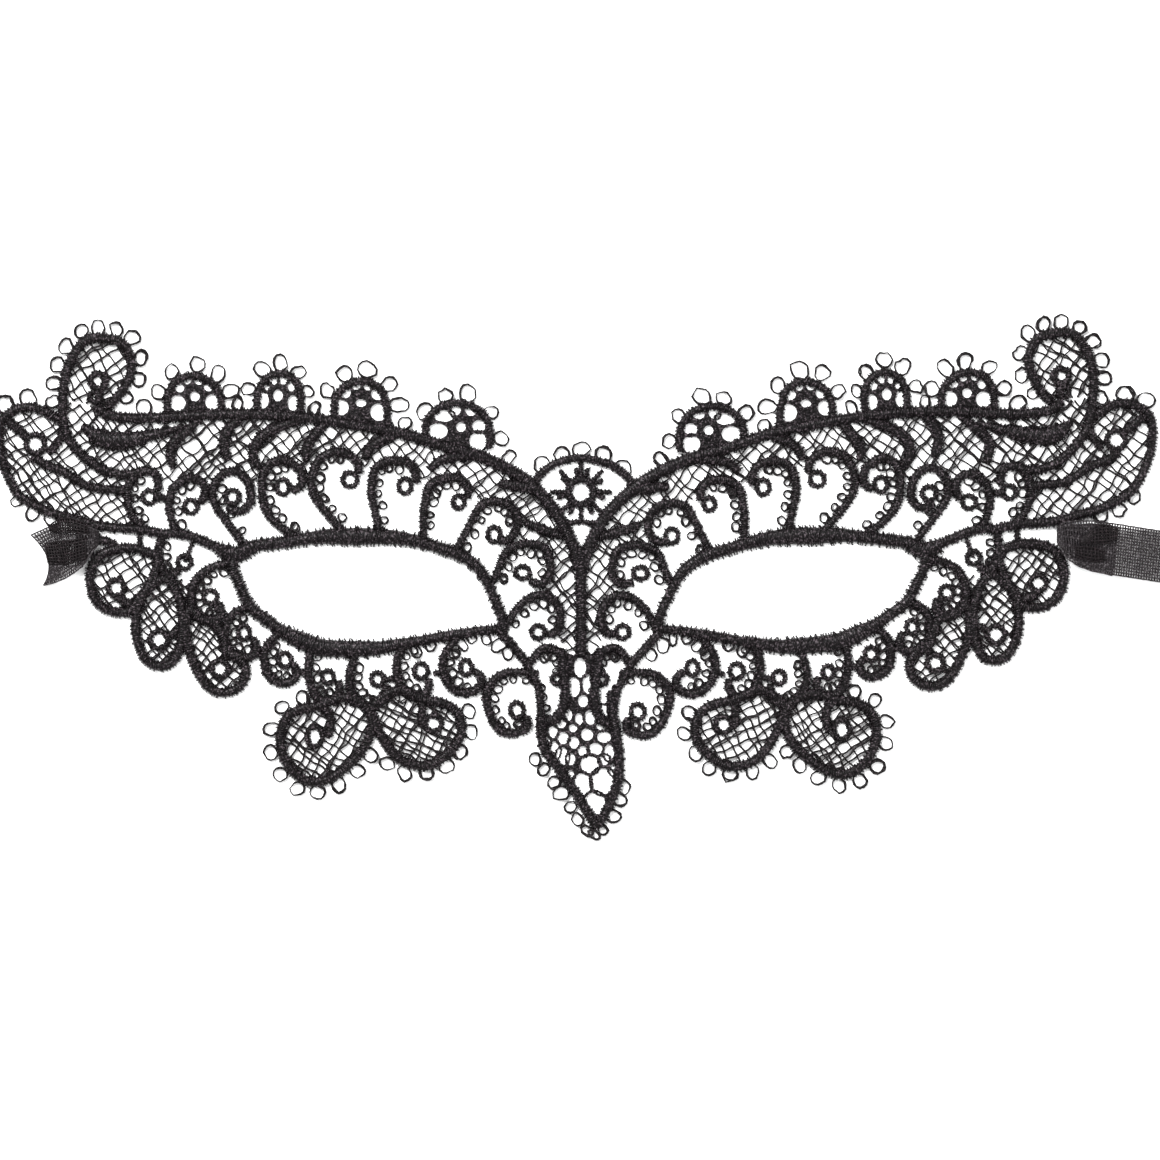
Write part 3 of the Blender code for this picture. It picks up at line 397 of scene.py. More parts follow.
CORD_PLACE = 3.5  # steps from point to point along a cord
STITCH_SPREAD = 0.4  # how much wider the stitches are than the cord they cover, in steps
PLEATS = 4  # lengthwise folds across a ribbon where it is gathered
# Strips of the ribbon folded over on themselves, in a darker cloth that is painted shade of the folds and
# pockets: rows of (top, bottom, height in metres)
LEFT_SHADE_TUCKS = (
    (((535.5, 36), (532.5, 17), 0.0012), ((524, 38), (519, 16), 0.0014), ((511, 39), (508, 17), 0.0027),
     ((494, 42), (494, 22), 0.0033)),
    (((532, 54), (530, 49), 0.0013), ((521, 61), (520, 49), 0.0024), ((509, 62), (508, 48), 0.0032),
     ((492, 56), (492, 46), 0.0032)),
)
RIGHT_SHADE_TUCKS = (
    (((498, 38), (497, 36), 0.0032), ((505, 46), (505, 37), 0.0033), ((514, 55), (514, 36), 0.0033),
     ((527, 55), (527, 37), 0.0033), ((535, 51), (534, 41), 0.0030)),
    (((493, 33), (494, 24), 0.0032), ((502, 33), (502, 20), 0.0033), ((513, 32), (513, 18), 0.0033),
     ((522, 28), (522, 20), 0.0032)),
)
RNG = np.random.default_rng(11)


def smooth(points, per_span=6, closed=False):
    """A Catmull-Rom curve through the points, with per_span samples for each stretch between two of them."""
    p = np.asarray(points, float)
    if closed:
        p = np.vstack((p[-1:], p, p[:2]))
    else:
        p = np.vstack((2 * p[:1] - p[1:2], p, 2 * p[-1:] - p[-2:-1]))
    a, b, c, d = (p[i:len(p) - 3 + i, None] for i in range(4))
    t = np.linspace(0, 1, per_span, endpoint=False)[None, :, None]
    curve = 0.5 * (2 * b + (c - a) * t + (2 * a - 5 * b + 4 * c - d) * t**2 + (3 * b - a - 3 * c + d) * t**3)
    return np.vstack((curve.reshape(-1, p.shape[1]), p[-2:-1]))


def even(curve, count):
    """The curve read at count places, evenly spaced along it."""
    gaps = np.linalg.norm(np.diff(curve, axis=0), axis=1)
    length = np.concatenate(((0,), np.cumsum(gaps)))
    at = np.linspace(0, length[-1], count)
    return np.column_stack([np.interp(at, length, column) for column in curve.T])


def length_of(curve):
    """The sum of the distances from point to point."""
    return np.linalg.norm(np.diff(curve, axis=0), axis=1).sum()


def unit(vectors):
    """Each vector over its own length."""
    return vectors / np.maximum(np.linalg.norm(vectors, axis=-1, keepdims=True), 1e-12)


def lay_shift(points):
    """How far the other half lies from the mirror of the first, in steps: the LAY rows, each weighted by
    exp(-(distance / LAY_REACH)^2), faded in over the first LAY_FADE steps from the centre line."""
    rows = np.array(LAY)
    distance = np.linalg.norm(points[:, None, :] - rows[None, :, :2], axis=2)
    weight = np.exp(-(distance / LAY_REACH) ** 2) + 1e-9
    shift = weight @ rows[:, 2:] / weight.sum(axis=1, keepdims=True)
    return shift * np.clip(points[:, :1] / LAY_FADE, 0, 1)


def on_side(points, side):
    """Table points on one side of the mask: -1 is the half as drafted, 1 the mirrored half as it lies."""
    p = np.asarray(points, float)
    if side < 0:
        return p * (-1, 1)
    return p + lay_shift(p)


def drawn_in(scroll):
    """The middle line of a scroll or petal, from the points on its outer side."""
    p = np.asarray(scroll.points, float)
    towards = np.asarray(scroll.ring, float) - p
    return p + INWARD * unit(towards) + (SIDEWAYS, 0)


def curled_in(scroll):
    """The middle line of a scroll, carried on into the cord below its foot and until it meets its ring."""
    line = drawn_in(scroll)
    ring = np.asarray(scroll.ring, float)
    back = line[-1] - ring
    ahead = unit(line[-1] - line[-2])
    meet = np.mean(scroll.hole) + cord_width / STEP * ring_share
    end = ring + unit(back + 3 * ahead) * meet
    foot = line[0] - 4 * unit(line[1] - line[0])
    return np.vstack((foot, line, end)) if np.linalg.norm(back) > meet + 1.5 else np.vstack((foot, line))


def ellipse(centre, half, sides):
    """centre + half * (cos, sin) at evenly spaced angles."""
    angle = np.arange(sides) * 2 * np.pi / sides
    return np.column_stack((centre[0] + half[0] * np.cos(angle), centre[1] + half[1] * np.sin(angle)))


def inside(points, corners):
    """Which points lie inside an outline, by counting the edges to the right of each."""
    x, y = points[:, :1], points[:, 1:]
    one = np.asarray(corners, float)
    two = np.roll(one, -1, axis=0)
    spans = (one[:, 1] > y) != (two[:, 1] > y)
    rise = np.where(two[:, 1] == one[:, 1], 1, two[:, 1] - one[:, 1])
    crossing = one[:, 0] + (y - one[:, 1]) * (two[:, 0] - one[:, 0]) / rise
    return (spans & (x < crossing)).sum(axis=1) % 2 == 1


def lifted(flat, level):
    """Grid points and a height in metres as points in space."""
    level = np.broadcast_to(level, flat.shape[:-1])
    return np.concatenate((flat * (STEP_OUT, STEP_UP), level[..., None]), axis=-1)


class Threads:
    """A mesh that gathers many threads: rings of points along each one, joined by quads."""

    def __init__(self):
        self.points = []
        self.faces = []
        self.count = 0

    def add_rings(self, rings, closed=False):
        """rings is (threads, places, sides, 3). The rings run round the thread with its way of travel
        pointing at the eye, from its right side up over its top."""
        threads, places, sides, _ = rings.shape
        index = self.count + np.arange(threads * places * sides).reshape(threads, places, sides)
        here = index if closed else index[:, :-1]
        there = np.roll(index, -1, axis=1) if closed else index[:, 1:]
        quads = np.stack((here, there, np.roll(there, -1, axis=2), np.roll(here, -1, axis=2)), axis=-1)
        self.faces.extend(quads.reshape(-1, 4).tolist())
        if not closed:
            self.faces.extend(index[:, 0].tolist())
            self.faces.extend(index[:, -1, ::-1].tolist())
        self.points.append(rings.reshape(-1, 3))
        self.count += threads * places * sides

    def add_tubes(self, paths, radius, sides=4, closed=False, flatness=1.0):
        """Threads along paths, an array (threads, places, 3). Each ring is path + radius * (right * cos +
        over * sin * flatness), and radius is one number or an array (threads, places)."""
        if closed:
            along = unit(np.roll(paths, -1, axis=1) - np.roll(paths, 1, axis=1))
        else:
            along = unit(np.gradient(paths, axis=1))
        right = unit(np.cross(along, (0.0, 0.0, 1.0)))
        over = np.cross(right, along)
        angle = (np.arange(sides) + 0.5) * 2 * np.pi / sides
        radius = np.broadcast_to(radius, paths.shape[:2])[..., None, None]
        rings = paths[:, :, None] + radius * (
            right[:, :, None] * np.cos(angle)[:, None] + over[:, :, None] * np.sin(angle)[:, None] * flatness
        )
        self.add_rings(rings, closed)

    def made(self, name, material):
        """The gathered threads as one object."""
        mesh = bpy.data.meshes.new(name)
        mesh.from_pydata(np.vstack(self.points), [], self.faces)
        mesh.shade_smooth()
        mesh.update()
        made = bpy.data.objects.new(name, mesh)
        made.data.materials.append(material)
        bpy.context.scene.collection.objects.link(made)
        return made


def cord_frame(line, closed):
    """The way along a cord and the way to its right, at each of its points."""
    if closed:
        along = unit(np.roll(line, -1, axis=0) - np.roll(line, 1, axis=0))
    else:
        along = unit(np.gradient(line, axis=0))
    return along, np.column_stack((along[:, 1], -along[:, 0]))


def rise_of(width):
    """How far a cord's padding stands above its underside, from its width in steps."""
    return np.minimum(width * STEP * 0.72, cord_rise)


def add_cord(threads, points, widths, closed=False, slant=0.12, tooth=0.7, is_curve=False):
    """A padded cord under satin stitches. The padding is an ellipse carried along the smoothed points, lower
    below than above, and its width closes as a quarter circle at each end. Each stitch is a closed loop of
    thread across it, at across * half width and rise * height, with some lean along the cord. Every other one
    stands out further by the tooth, which gives the edge its teeth."""
    curve = np.asarray(points, float) if is_curve else smooth(points, closed=closed)
    total = length_of(curve)
    places = max(int(total / CORD_PLACE), 4) + 1
    line = even(curve, places)
    share = np.linspace(0, 1, places)
    if closed:
        line, share = line[:-1], share[:-1]
    along, right = cord_frame(line, closed)
    width = np.interp(share, np.linspace(0, 1, len(widths)), widths) + STITCH_SPREAD
    if not closed:
        end = np.minimum(share, 1 - share) * total / np.maximum(width / 2, 1)
        width = width * np.sqrt(1 - (1 - np.clip(end, 0.25, 1)) ** 2)
    rise = rise_of(width)[:, None]
    angle = np.arange(CORD_SIDES) * 2 * np.pi / CORD_SIDES
    lift = np.where(np.sin(angle) > 0, 0.60, 0.33) * np.sin(angle)
    flat = line[:, None] + right[:, None] * (width[:, None] * 0.45 * np.cos(angle))[..., None]
    threads.add_rings(lifted(flat, back_clearance + stitch_radius + rise * (0.33 + lift))[None], closed)

    count = max(int(total * STEP / stitch_pitch), 3)
    at = (np.arange(count) + 0.5 + RNG.uniform(-0.22, 0.22, count)) / count
    if closed:
        line, share = np.vstack((line, line[:1])), np.append(share, 1.0)
        along, right = np.vstack((along, along[:1])), np.vstack((right, right[:1]))
        width = np.append(width, width[0])
    read = [np.interp(at, share, column) for column in (*line.T, *along.T, width)]
    centre = np.column_stack(read[:2])
    ahead = unit(np.column_stack(read[2:4]))
    side = np.column_stack((ahead[:, 1], -ahead[:, 0]))
    half = read[4] / 2
    stands = RNG.exponential(0.16, (count, 2)) + tooth * (np.arange(count)[:, None] % 2)
    stands = np.minimum(stands, tooth + 0.35)
    across = np.array((-1.0, -0.62, 0.0, 0.62, 1.0, 0.0))
    height = np.array((0.36, 0.86, 1.0, 0.86, 0.36, 0.0))
    reach = np.where(across < 0, half[:, None] + stands[:, :1], half[:, None] + stands[:, 1:]) * across
    lean = slant + RNG.normal(0, 0.28, (count, 1))
    zigzag = RNG.normal(0, 0.5, (count, 1)) * across
    flat = (
        centre[:, None] + side[:, None] * reach[..., None]
        + ahead[:, None] * (lean * reach + zigzag)[..., None]
    )
    top = rise_of(read[4])[:, None] + RNG.normal(0, 0.00008, (count, 1))
    level = back_clearance + stitch_radius + top * height
    paths = lifted(flat, level)
    normal = unit(np.concatenate((ahead, np.zeros((count, 1))), axis=1))[:, None]
    way = unit(np.roll(paths, -1, axis=1) - np.roll(paths, 1, axis=1))
    over = unit(np.cross(normal, way))
    thick = stitch_radius * RNG.uniform(0.7, 1.3, (count, 1, 1, 1))
    turn = (np.arange(3) + 0.5) * 2 * np.pi / 3
    rings = paths[:, :, None] + thick * (
        normal[:, :, None] * np.cos(turn)[:, None] - over[:, :, None] * np.sin(turn)[:, None]
    )
    threads.add_rings(rings, closed=True)


def add_ring(threads, centre, hole, width, tooth=0.7):
    """An eyelet: a closed cord round a hole of the given half sizes."""
    wall = max(width - 1.4, 1.2)
    half = (hole[0] + 0.8 + wall / 2, hole[1] + 0.8 + wall / 2)
    add_cord(threads, ellipse(centre, half, 12), (wall, wall), closed=True, tooth=tooth)


def add_loop(threads, centre, radius, doubled=0.35, landing=None):
    """A picot: a circle bent a little at random and towards an ellipse, here and there laid double. Its side
    towards a cord is drawn out by gap * cos^3 of the angle, so that it lies on the cord."""
    for _ in range(1 + (RNG.random() < doubled)):
        angle = np.arange(PICOT_PLACES) * 2 * np.pi / PICOT_PLACES
        bent = radius * (1 + RNG.normal(0, 0.07, PICOT_PLACES))
        bent = bent * (1 + 0.10 * np.cos(2 * angle + RNG.uniform(0, 6)))
        middle = np.asarray(centre) + RNG.normal(0, 0.5, 2)
        spokes = np.column_stack((np.cos(angle), np.sin(angle)))
        if landing is not None:
            ahead, gap = landing
            bent = bent + gap * np.maximum(spokes @ ahead, 0) ** 3
        flat = middle + spokes * bent[:, None]
        level = net_level + 0.00012 * np.sin(angle + RNG.uniform(0, 6))
        uneven = 0.25 * np.sin(angle + RNG.uniform(0, 6))
        thick = picot_radius * (1 + uneven + RNG.normal(0, 0.1, PICOT_PLACES))
        threads.add_tubes(lifted(flat, level)[None], thick[None], 4, closed=True)


def add_net(threads, corners, holes, turn, spacing=NET_SPACING):
    """Two sets of straight threads, a quarter turn apart, each waving by a sum of three sines and here and
    there doubled. They are kept inside the outline and outside the holes, rows of (x, y, half sizes)."""
    corners = np.asarray(corners, float)
    middle = (corners.min(axis=0) + corners.max(axis=0)) / 2
    reach = np.linalg.norm(np.ptp(corners, axis=0)) / 2 + spacing
    s = np.arange(-reach, reach, NET_PLACE)
    openings = holes[None, :, 2:] + HOLE_MARGIN
    for quarter in (0, 90):
        angle = np.radians(turn + quarter)
        ahead = np.array((np.cos(angle), np.sin(angle)))
        aside = np.array((-ahead[1], ahead[0]))
        for offset in np.arange(-reach, reach, spacing):
            for copy in range(1 + (RNG.random() < 0.35)):
                wave = sum(
                    size * np.sin(s * 2 * np.pi / span + RNG.uniform(0, 6.3))
                    for size, span in ((1.1, 61), (0.9, 33), (0.5, 17))
                )
                drift = offset + RNG.normal(0, 1.1) + 1.5 * copy + RNG.normal(0, 0.012) * s
                line = middle + s[:, None] * ahead + (drift + wave)[:, None] * aside
                level = net_level + 0.0001 * np.sin(s * np.pi / spacing + quarter + RNG.uniform(0, 1))
                away = np.linalg.norm((line[:, None] - holes[None, :, :2]) / openings, axis=2)
                kept = inside(line, corners) & (away > 1).all(axis=1)
                breaks = np.flatnonzero(np.diff(np.concatenate(([0], kept.astype(int), [0]))))
                for first, last in breaks.reshape(-1, 2):
                    if last - first > 2:
                        path = lifted(line[first:last], level[first:last])
                        threads.add_tubes(path[None], net_radius * RNG.uniform(0.8, 1.15), 4)


def add_scroll_picots(threads, scroll, side):
    """Picots at even shares of a scroll's cord, on the side where its ring lies."""
    count, first, last = SCROLL_PICOTS[scroll.name]
    curve = even(smooth(drawn_in(scroll)), 200)
    for share in np.linspace(first, last, count):
        i = min(int(share * 199), 198)
        ahead = unit(curve[i + 1] - curve[i])
        across = np.array((ahead[1], -ahead[0]))
        if across @ (np.asarray(scroll.ring) - curve[i]) < 0:
            across = -across
        radius = SCROLL_PICOT_RADIUS * RNG.uniform(0.8, 1.15)
        centre = curve[i] + across * (cord_width / STEP / 2 + STITCH_SPREAD / 2 + radius * 0.95)
        add_loop(threads, on_side(centre[None], side)[0], radius, doubled=0.2)


def plate(outlines, holes, name, material):
    """A thin plate of close stitches: the outlines filled, less the holes, and raised from plate_low to
    plate_high."""
    corners, faces = [], []
    for shape in (*outlines, *holes):
        shape = np.asarray(shape, float)
        turned = np.roll(shape, -1, axis=0)
        if (shape[:, 0] * turned[:, 1] - shape[:, 1] * turned[:, 0]).sum() < 0:
            shape = shape[::-1]
        faces.append(list(range(len(corners), len(corners) + len(shape))))
        corners.extend(Vector(p) for p in shape)
    points, _, found, _, _, origins = delaunay_2d_cdt(corners, [], faces, 1, 1e-5, True)
    flat = bmesh.new()
    level = plate_low
    verts = [flat.verts.new((p.x * STEP_OUT, p.y * STEP_UP, level)) for p in points]
    for face, origin in zip(found, origins):
        if origin and max(origin) < len(outlines):
            flat.faces.new([verts[i] for i in face])
    bmesh.ops.delete(flat, geom=[v for v in flat.verts if not v.link_faces], context="VERTS")
    raised = bmesh.ops.extrude_face_region(flat, geom=flat.faces[:], use_keep_orig=True)["geom"]
    moved = [v for v in raised if isinstance(v, bmesh.types.BMVert)]
    bmesh.ops.translate(flat, verts=moved, vec=(0, 0, plate_high - plate_low))
    bmesh.ops.recalc_face_normals(flat, faces=flat.faces[:])
    mesh = bpy.data.meshes.new(name)
    flat.to_mesh(mesh)
    flat.free()
    made = bpy.data.objects.new(name, mesh)
    made.data.materials.append(material)
    bpy.context.scene.collection.objects.link(made)
    return made


def add_filling(threads, outline, holes, gap=3.0):
    """Short stitches laid over a plate, close together and every way."""
    outline = np.asarray(outline, float)
    low, high = outline.min(axis=0), outline.max(axis=0)
    x, y = np.meshgrid(np.arange(low[0], high[0], gap), np.arange(low[1], high[1], gap))
    middle = np.column_stack((x.ravel(), y.ravel())) + RNG.normal(0, gap / 3, (x.size, 2))
    middle = middle[inside(middle, outline)]
    for out, up, half_out, half_up in holes:
        away = np.linalg.norm((middle - (out, up)) / (half_out + 1.5, half_up + 1.5), axis=1)
        middle = middle[away > 1]
    angle = RNG.uniform(0, np.pi, len(middle))
    ahead = np.column_stack((np.cos(angle), np.sin(angle)))
    at = np.array((-1.0, -0.4, 0.4, 1.0))
    flat = middle[:, None] + ahead[:, None] * (at * 2.8)[:, None]
    level = plate_high + 0.0001 * (1 - at**2) + RNG.uniform(-0.00005, 0.0001, (len(middle), 1))
    threads.add_tubes(lifted(flat, level), stitch_radius * 0.9, 3)


def both_sides():
    return (-1, 1)


def make_cords(names, material, title, slant=0.12):
    threads = Threads()
    for cord in CORDS + FEATHERS:
        if cord.name in names:
            for side in both_sides():
                add_cord(threads, on_side(cord.points, side), cord.widths, slant=slant * -side)
    return threads.made(title, material)


def make_rims(material):
    """The cords round the eye openings, with the longest teeth on the mask."""
    threads = Threads()
    for cord in RIM:
        for side in both_sides():
            add_cord(threads, on_side(cord.points, side), np.array(cord.widths) + 1, tooth=1.5)
    return threads.made("eye_rims", material)


def make_scrolls(material):
    wide = cord_width / STEP
    threads = Threads()
    for side in both_sides():
        for scroll in SCROLLS:
            add_cord(threads, on_side(curled_in(scroll), side), (wide * 0.85, wide, wide))
            add_ring(threads, on_side((scroll.ring,), side)[0], scroll.hole, wide * 0.66)
    return threads.made("scrolls", material)


def make_petals(material):
    wide = petal_cord_width / STEP
    threads = Threads()
    for side in both_sides():
        for petal in PETALS:
            add_cord(threads, on_side(drawn_in(petal), side), (wide, wide), closed=True)
            add_ring(threads, on_side((petal.ring,), side)[0], petal.hole, wide * 0.66)
        for ring in LOOSE_RINGS:
            add_ring(threads, on_side((ring.ring,), side)[0], ring.hole, wide * 0.68)
        for out, up, *hole in EYELETS:
            add_ring(threads, on_side(((out, up),), side)[0], hole, wide * 0.6)
        for link in LINKS:
            add_cord(threads, on_side(link.points, side), link.widths)
    return threads.made("petals_and_rings", material)


def make_rosettes(material):
    wide = cord_width / STEP * 0.85
    threads = Threads()
    outlines, holes = [], []
    for side in both_sides():
        for rosette in ROSETTES:
            rim = on_side(rosette.rim, side)
            outlines.append(smooth(rim, 3))
            add_cord(threads, rim, (wide, wide))
            placed = []
            for number, (out, up, half_out, half_up) in enumerate(rosette.holes):
                centre = on_side(((out, up),), side)[0]
                half = (half_out + 1, half_up + 1)
                placed.append((*centre, *half))
                holes.append(ellipse(centre, half, 10))
                add_ring(threads, centre, half, 5 if number == 0 else 2.6, tooth=0.3)
            add_filling(threads, rim, placed)
    return threads.made("rosettes", material), plate(outlines, holes, "rosette_plates", material)


def make_centre_rosette(material):
    """A ring with a spoke every eighth of a turn and a short knobbed stub between each two, under an arch."""
    threads = Threads()
    hole = centre_ring_hole / 2 / STEP
    add_ring(threads, CENTRE_RING, (hole, hole), CENTRE_RING_WIDTH)
    middle = np.array(CENTRE_RING, float)
    for i in range(CENTRE_SPOKES):
        angle = i * 2 * np.pi / CENTRE_SPOKES
        way = np.array((np.cos(angle), np.sin(angle)))
        start = middle + way * (hole + CENTRE_RING_WIDTH / 2)
        add_cord(threads, (start, middle + way * CENTRE_SPOKE_END), (4.6, 4.0, 4.6), tooth=0.5)
    for angle in np.radians(CENTRE_CLUBS):
        way = np.array((np.cos(angle), np.sin(angle)))
        aside = np.array((-way[1], way[0])) * (1 if RNG.random() < 0.5 else -1)
        bends = ((6, 0), (12, 0), (15, 0.8), (15.5, 2.6))
        hook = [middle + way * (hole + reach) + aside * bend for reach, bend in bends]
        add_cord(threads, hook, (4, 3.8, 5.2, 5.8), tooth=0.5)
    arch = smooth(np.vstack([on_side(CENTRE_ARCH, -1), on_side(CENTRE_ARCH, 1)[-2::-1]]))
    wide = cord_width / STEP * 0.9
    add_cord(threads, arch, (wide, wide), is_curve=True)
    for side in both_sides():
        add_cord(threads, on_side(CENTRE_BAR, side), (5, 5))
    return threads.made("centre_rosette", material)


def make_nose(material):
    threads = Threads()
    add_cord(threads, SPINE.points, SPINE.widths)
    left, right = on_side(NOSE_LEFT, -1), on_side(NOSE_RIGHT, -1)
    for edge in (left, right):
        add_cord(threads, edge, (NOSE_EDGE_WIDTH,) * 2)
    for cord in CORDS:
        if cord.name == "nostril":
            for side in both_sides():
                add_cord(threads, on_side(cord.points, side), cord.widths)
    outline = np.vstack((on_side(NOSE_PLATE_TOP, -1), left, right[::-1], on_side(NOSE_PLATE_TOP, 1)[::-1]))
    cells = [(-out, up, half_out + 1.2, half_up + 1.2) for out, up, half_out, half_up in NOSE_CELLS]
    for out, up, half_out, half_up in cells:
        add_ring(threads, (out, up), (half_out, half_up), 2.0, tooth=0.2)
    add_filling(threads, outline, cells)
    holes = [ellipse(cell[:2], cell[2:], 10) for cell in cells]
    return threads.made("nose_threads", material), plate([outline], holes, "nose_plate", material)


def make_nets(material):
    threads = Threads()
    for side in both_sides():
        rings = [(*ring.ring, *ring.hole) for ring in SCROLLS + PETALS + LOOSE_RINGS] + list(EYELETS)
        holes = np.array([(*on_side((ring[:2],), side)[0], *ring[2:]) for ring in rings])
        for name, corners in NETS:
            add_net(threads, on_side(corners, side), holes, -side * NET_TURNS.get(name, 45))
        for number, petal in enumerate(PETALS):
            corners = on_side(drawn_in(petal), side)
            add_net(threads, corners, holes, -side * (35 + 7 * number), NET_SPACING * 0.9)
    return threads.made("net_ground", material)


def landing_of(centre, radius, marks):
    """Which way the nearest of the cords' marks lies from a picot, and how much further its loop reaches."""
    offsets = marks - np.asarray(centre)
    far = np.linalg.norm(offsets, axis=1)
    near = far.argmin()
    return offsets[near] / max(far[near], 1e-6), float(np.clip(far[near] - radius - 2.5, 0, 6))


def make_picots(material):
    threads = Threads()
    lines = [cord.points for cord in CORDS + RIM + FEATHERS + SCROLLS + PETALS]
    lines += [arch.rim for arch in ROSETTES]
    marks = np.vstack([smooth(line, 8) for line in lines])
    middle = np.vstack([smooth(line, 8) for line in (CENTRE_ARCH, NOSE_LEFT, NOSE_RIGHT)])
    middle = np.vstack((middle, smooth(CENTRE_ARCH, 8) * (-1, 1)))
    for side in both_sides():
        placed = on_side(marks, side)
        for out, up, radius in OUTER_PICOTS + RIM_PICOTS + SIDE_PICOTS:
            centre = on_side(((out, up),), side)[0]
            add_loop(threads, centre, radius, landing=landing_of(centre, radius, placed))
        for scroll in SCROLLS:
            add_scroll_picots(threads, scroll, side)
    for out, up, radius in MIDDLE_PICOTS:
        add_loop(threads, (out, up), radius, landing=landing_of((out, up), radius, middle))
    return threads.made("picots", material)


def make_bars(material):
    """The bars that the ribbons loop round, each three strands twisted as helices, and the knot in the left
    ribbon's mouth."""
    threads = Threads()
    for side in both_sides():
        start, end = on_side(TIE_BAR, side)
        at = np.linspace(0, 1, 25)
        for strand in range(3):
            angle = at * 18 + strand * 2 * np.pi / 3
            flat = start + (end - start) * at[:, None] + np.column_stack((np.cos(angle), 0 * at)) * 1.0
            path = lifted(flat, bar_level + np.sin(angle) * STEP)
            threads.add_tubes(path[None], bar_radius, 6)
    add_cord(threads, on_side(KNOT.points, -1), KNOT.widths)
    return threads.made("tie_bars", material)


def ribbon_rows(upper, lower, side):
    """The ribbon's rows from the end of its lower layer, round the bar, to its far end, as an array of
    (top out, top up, bottom out, bottom up, height in metres, notch, share of the pleats)."""
    bar_out = abs(on_side(TIE_BAR, side)[0][0])
    upper, lower = (
        np.array([(*row.top, *row.bottom, row.lift, row.notch, 1) for row in rows], float)
        for rows in (upper, lower)
    )
    upper[:, 4] = ribbon_flat_level + (ribbon_over_level - ribbon_flat_level) * upper[:, 4]
    lower[:, 4] = ribbon_low_level
    lower[:, 6] = 0
    lower[0, [0, 2]] = bar_out
    turn = []
    for i in range(1, LOOP_TURNS):
        angle = np.pi * i / LOOP_TURNS
        row = lower[0] + (upper[0] - lower[0]) * max(2 * i / LOOP_TURNS - 1, 0) ** 2
        row[[0, 2]] -= np.sin(angle) * (ribbon_over_level - ribbon_low_level) / 2 / STEP_OUT
        row[4] = ribbon_low_level + (ribbon_over_level - ribbon_low_level) * (1 - np.cos(angle)) / 2
        turn.append(row)
    return np.vstack((lower[::-1], turn, upper))


def weave(warp, weft, surface):
    """A plain weave over a surface, an array (rows, columns, 3). The warp runs from row to row at surface +
    normal * weave_rise and the weft from column to column at surface - normal * weave_rise, and both change
    sign at each crossing, so each goes over one and under the next."""
    rows, columns, _ = surface.shape
    over = np.where((np.arange(rows)[:, None] + np.arange(columns)) % 2 == 0, 1.0, -1.0)[..., None]
    normal = unit(np.cross(np.gradient(surface, axis=0), np.gradient(surface, axis=1)))
    normal = normal * np.sign((normal * (0, 0, 1)).sum(axis=-1).mean() + 1e-9)
    jitter = RNG.normal(0, 0.00002, surface.shape)
    warp_paths = (surface + normal * over * weave_rise + jitter).transpose(1, 0, 2)
    warp.add_tubes(warp_paths, weave_radius, 6, flatness=0.6)
    weft.add_tubes(surface - normal * over * weave_rise + jitter, weave_radius, 6, flatness=0.6)


def make_ribbon(upper, lower, shade_tucks, side, name, material, painted_shade_cloth):
    """A ribbon thread by thread, on a surface that runs straight between the rows' edges. Where a row is
    narrower than the ribbon it is gathered into pleats, a cosine across it as deep as the width it lacks.
    Strips of it are folded over, in a darker cloth that is painted shade."""
    rows = ribbon_rows(upper, lower, side)
    middle = (rows[:, :2] + rows[:, 2:4]) / 2
    spots = np.column_stack((middle * (STEP_OUT, STEP_UP), rows[:, 4]))
    length = np.concatenate(((0,), np.cumsum(np.linalg.norm(np.diff(spots, axis=0), axis=1))))
    at = np.linspace(0, length[-1], int(length[-1] / weave_pitch))
    table = np.column_stack([np.interp(at, length, column) for column in rows.T])
    across = np.linspace(0, 1, int(ribbon_width / weave_pitch))[None]
    top_out, top_up, bottom_out, bottom_up, level, notch, pleated = (column[:, None] for column in table.T)
    gathered = 1 - np.clip(np.hypot(top_out - bottom_out, top_up - bottom_up) * STEP / ribbon_width, 0, 1)
    phase = across * 2 * np.pi * PLEATS
    tucked = across + pleated * np.minimum(gathered * 2.2, 0.11) * np.sin(phase) * np.sin(np.pi * across)
    out = top_out + (bottom_out - top_out) * tucked - notch * 4 * tucked * (1 - tucked)
    up = top_up + (bottom_up - top_up) * tucked
    depth = np.minimum(pleat_depth * gathered * pleated, np.maximum(level - 0.0005, 0))
    warp, weft = Threads(), Threads()
    weave(warp, weft, lifted(np.stack((side * out, up), axis=-1), level + depth * np.cos(phase)))
    shade_tuck_threads = Threads()
    for strip in shade_tucks:
        corners = np.array([(*top, *bottom, height) for top, bottom, height in strip], float)
        share = np.linspace(0, len(corners) - 1, int(np.ptp(corners[:, 0]) * STEP / weave_pitch))
        read = [np.interp(share, range(len(corners)), column)[:, None] for column in corners.T]
        count = int(np.abs(corners[:, 1] - corners[:, 3]).max() * STEP / weave_pitch)
        across = np.linspace(0, 1, count)[None]
        out = read[0] + (read[2] - read[0]) * across
        up = read[1] + (read[3] - read[1]) * across
        flat = np.stack((side * out, up), axis=-1)
        weave(shade_tuck_threads, shade_tuck_threads, lifted(flat, read[4] + 0.0002 * np.sin(np.pi * across)))
    # the folded strips wear the darker cloth, which is painted shade
    return (
        weft.made(name + "_weft", material), warp.made(name + "_warp", material),
        shade_tuck_threads.made(name + "_painted_shade_tucks", painted_shade_cloth), length[-1],
    )


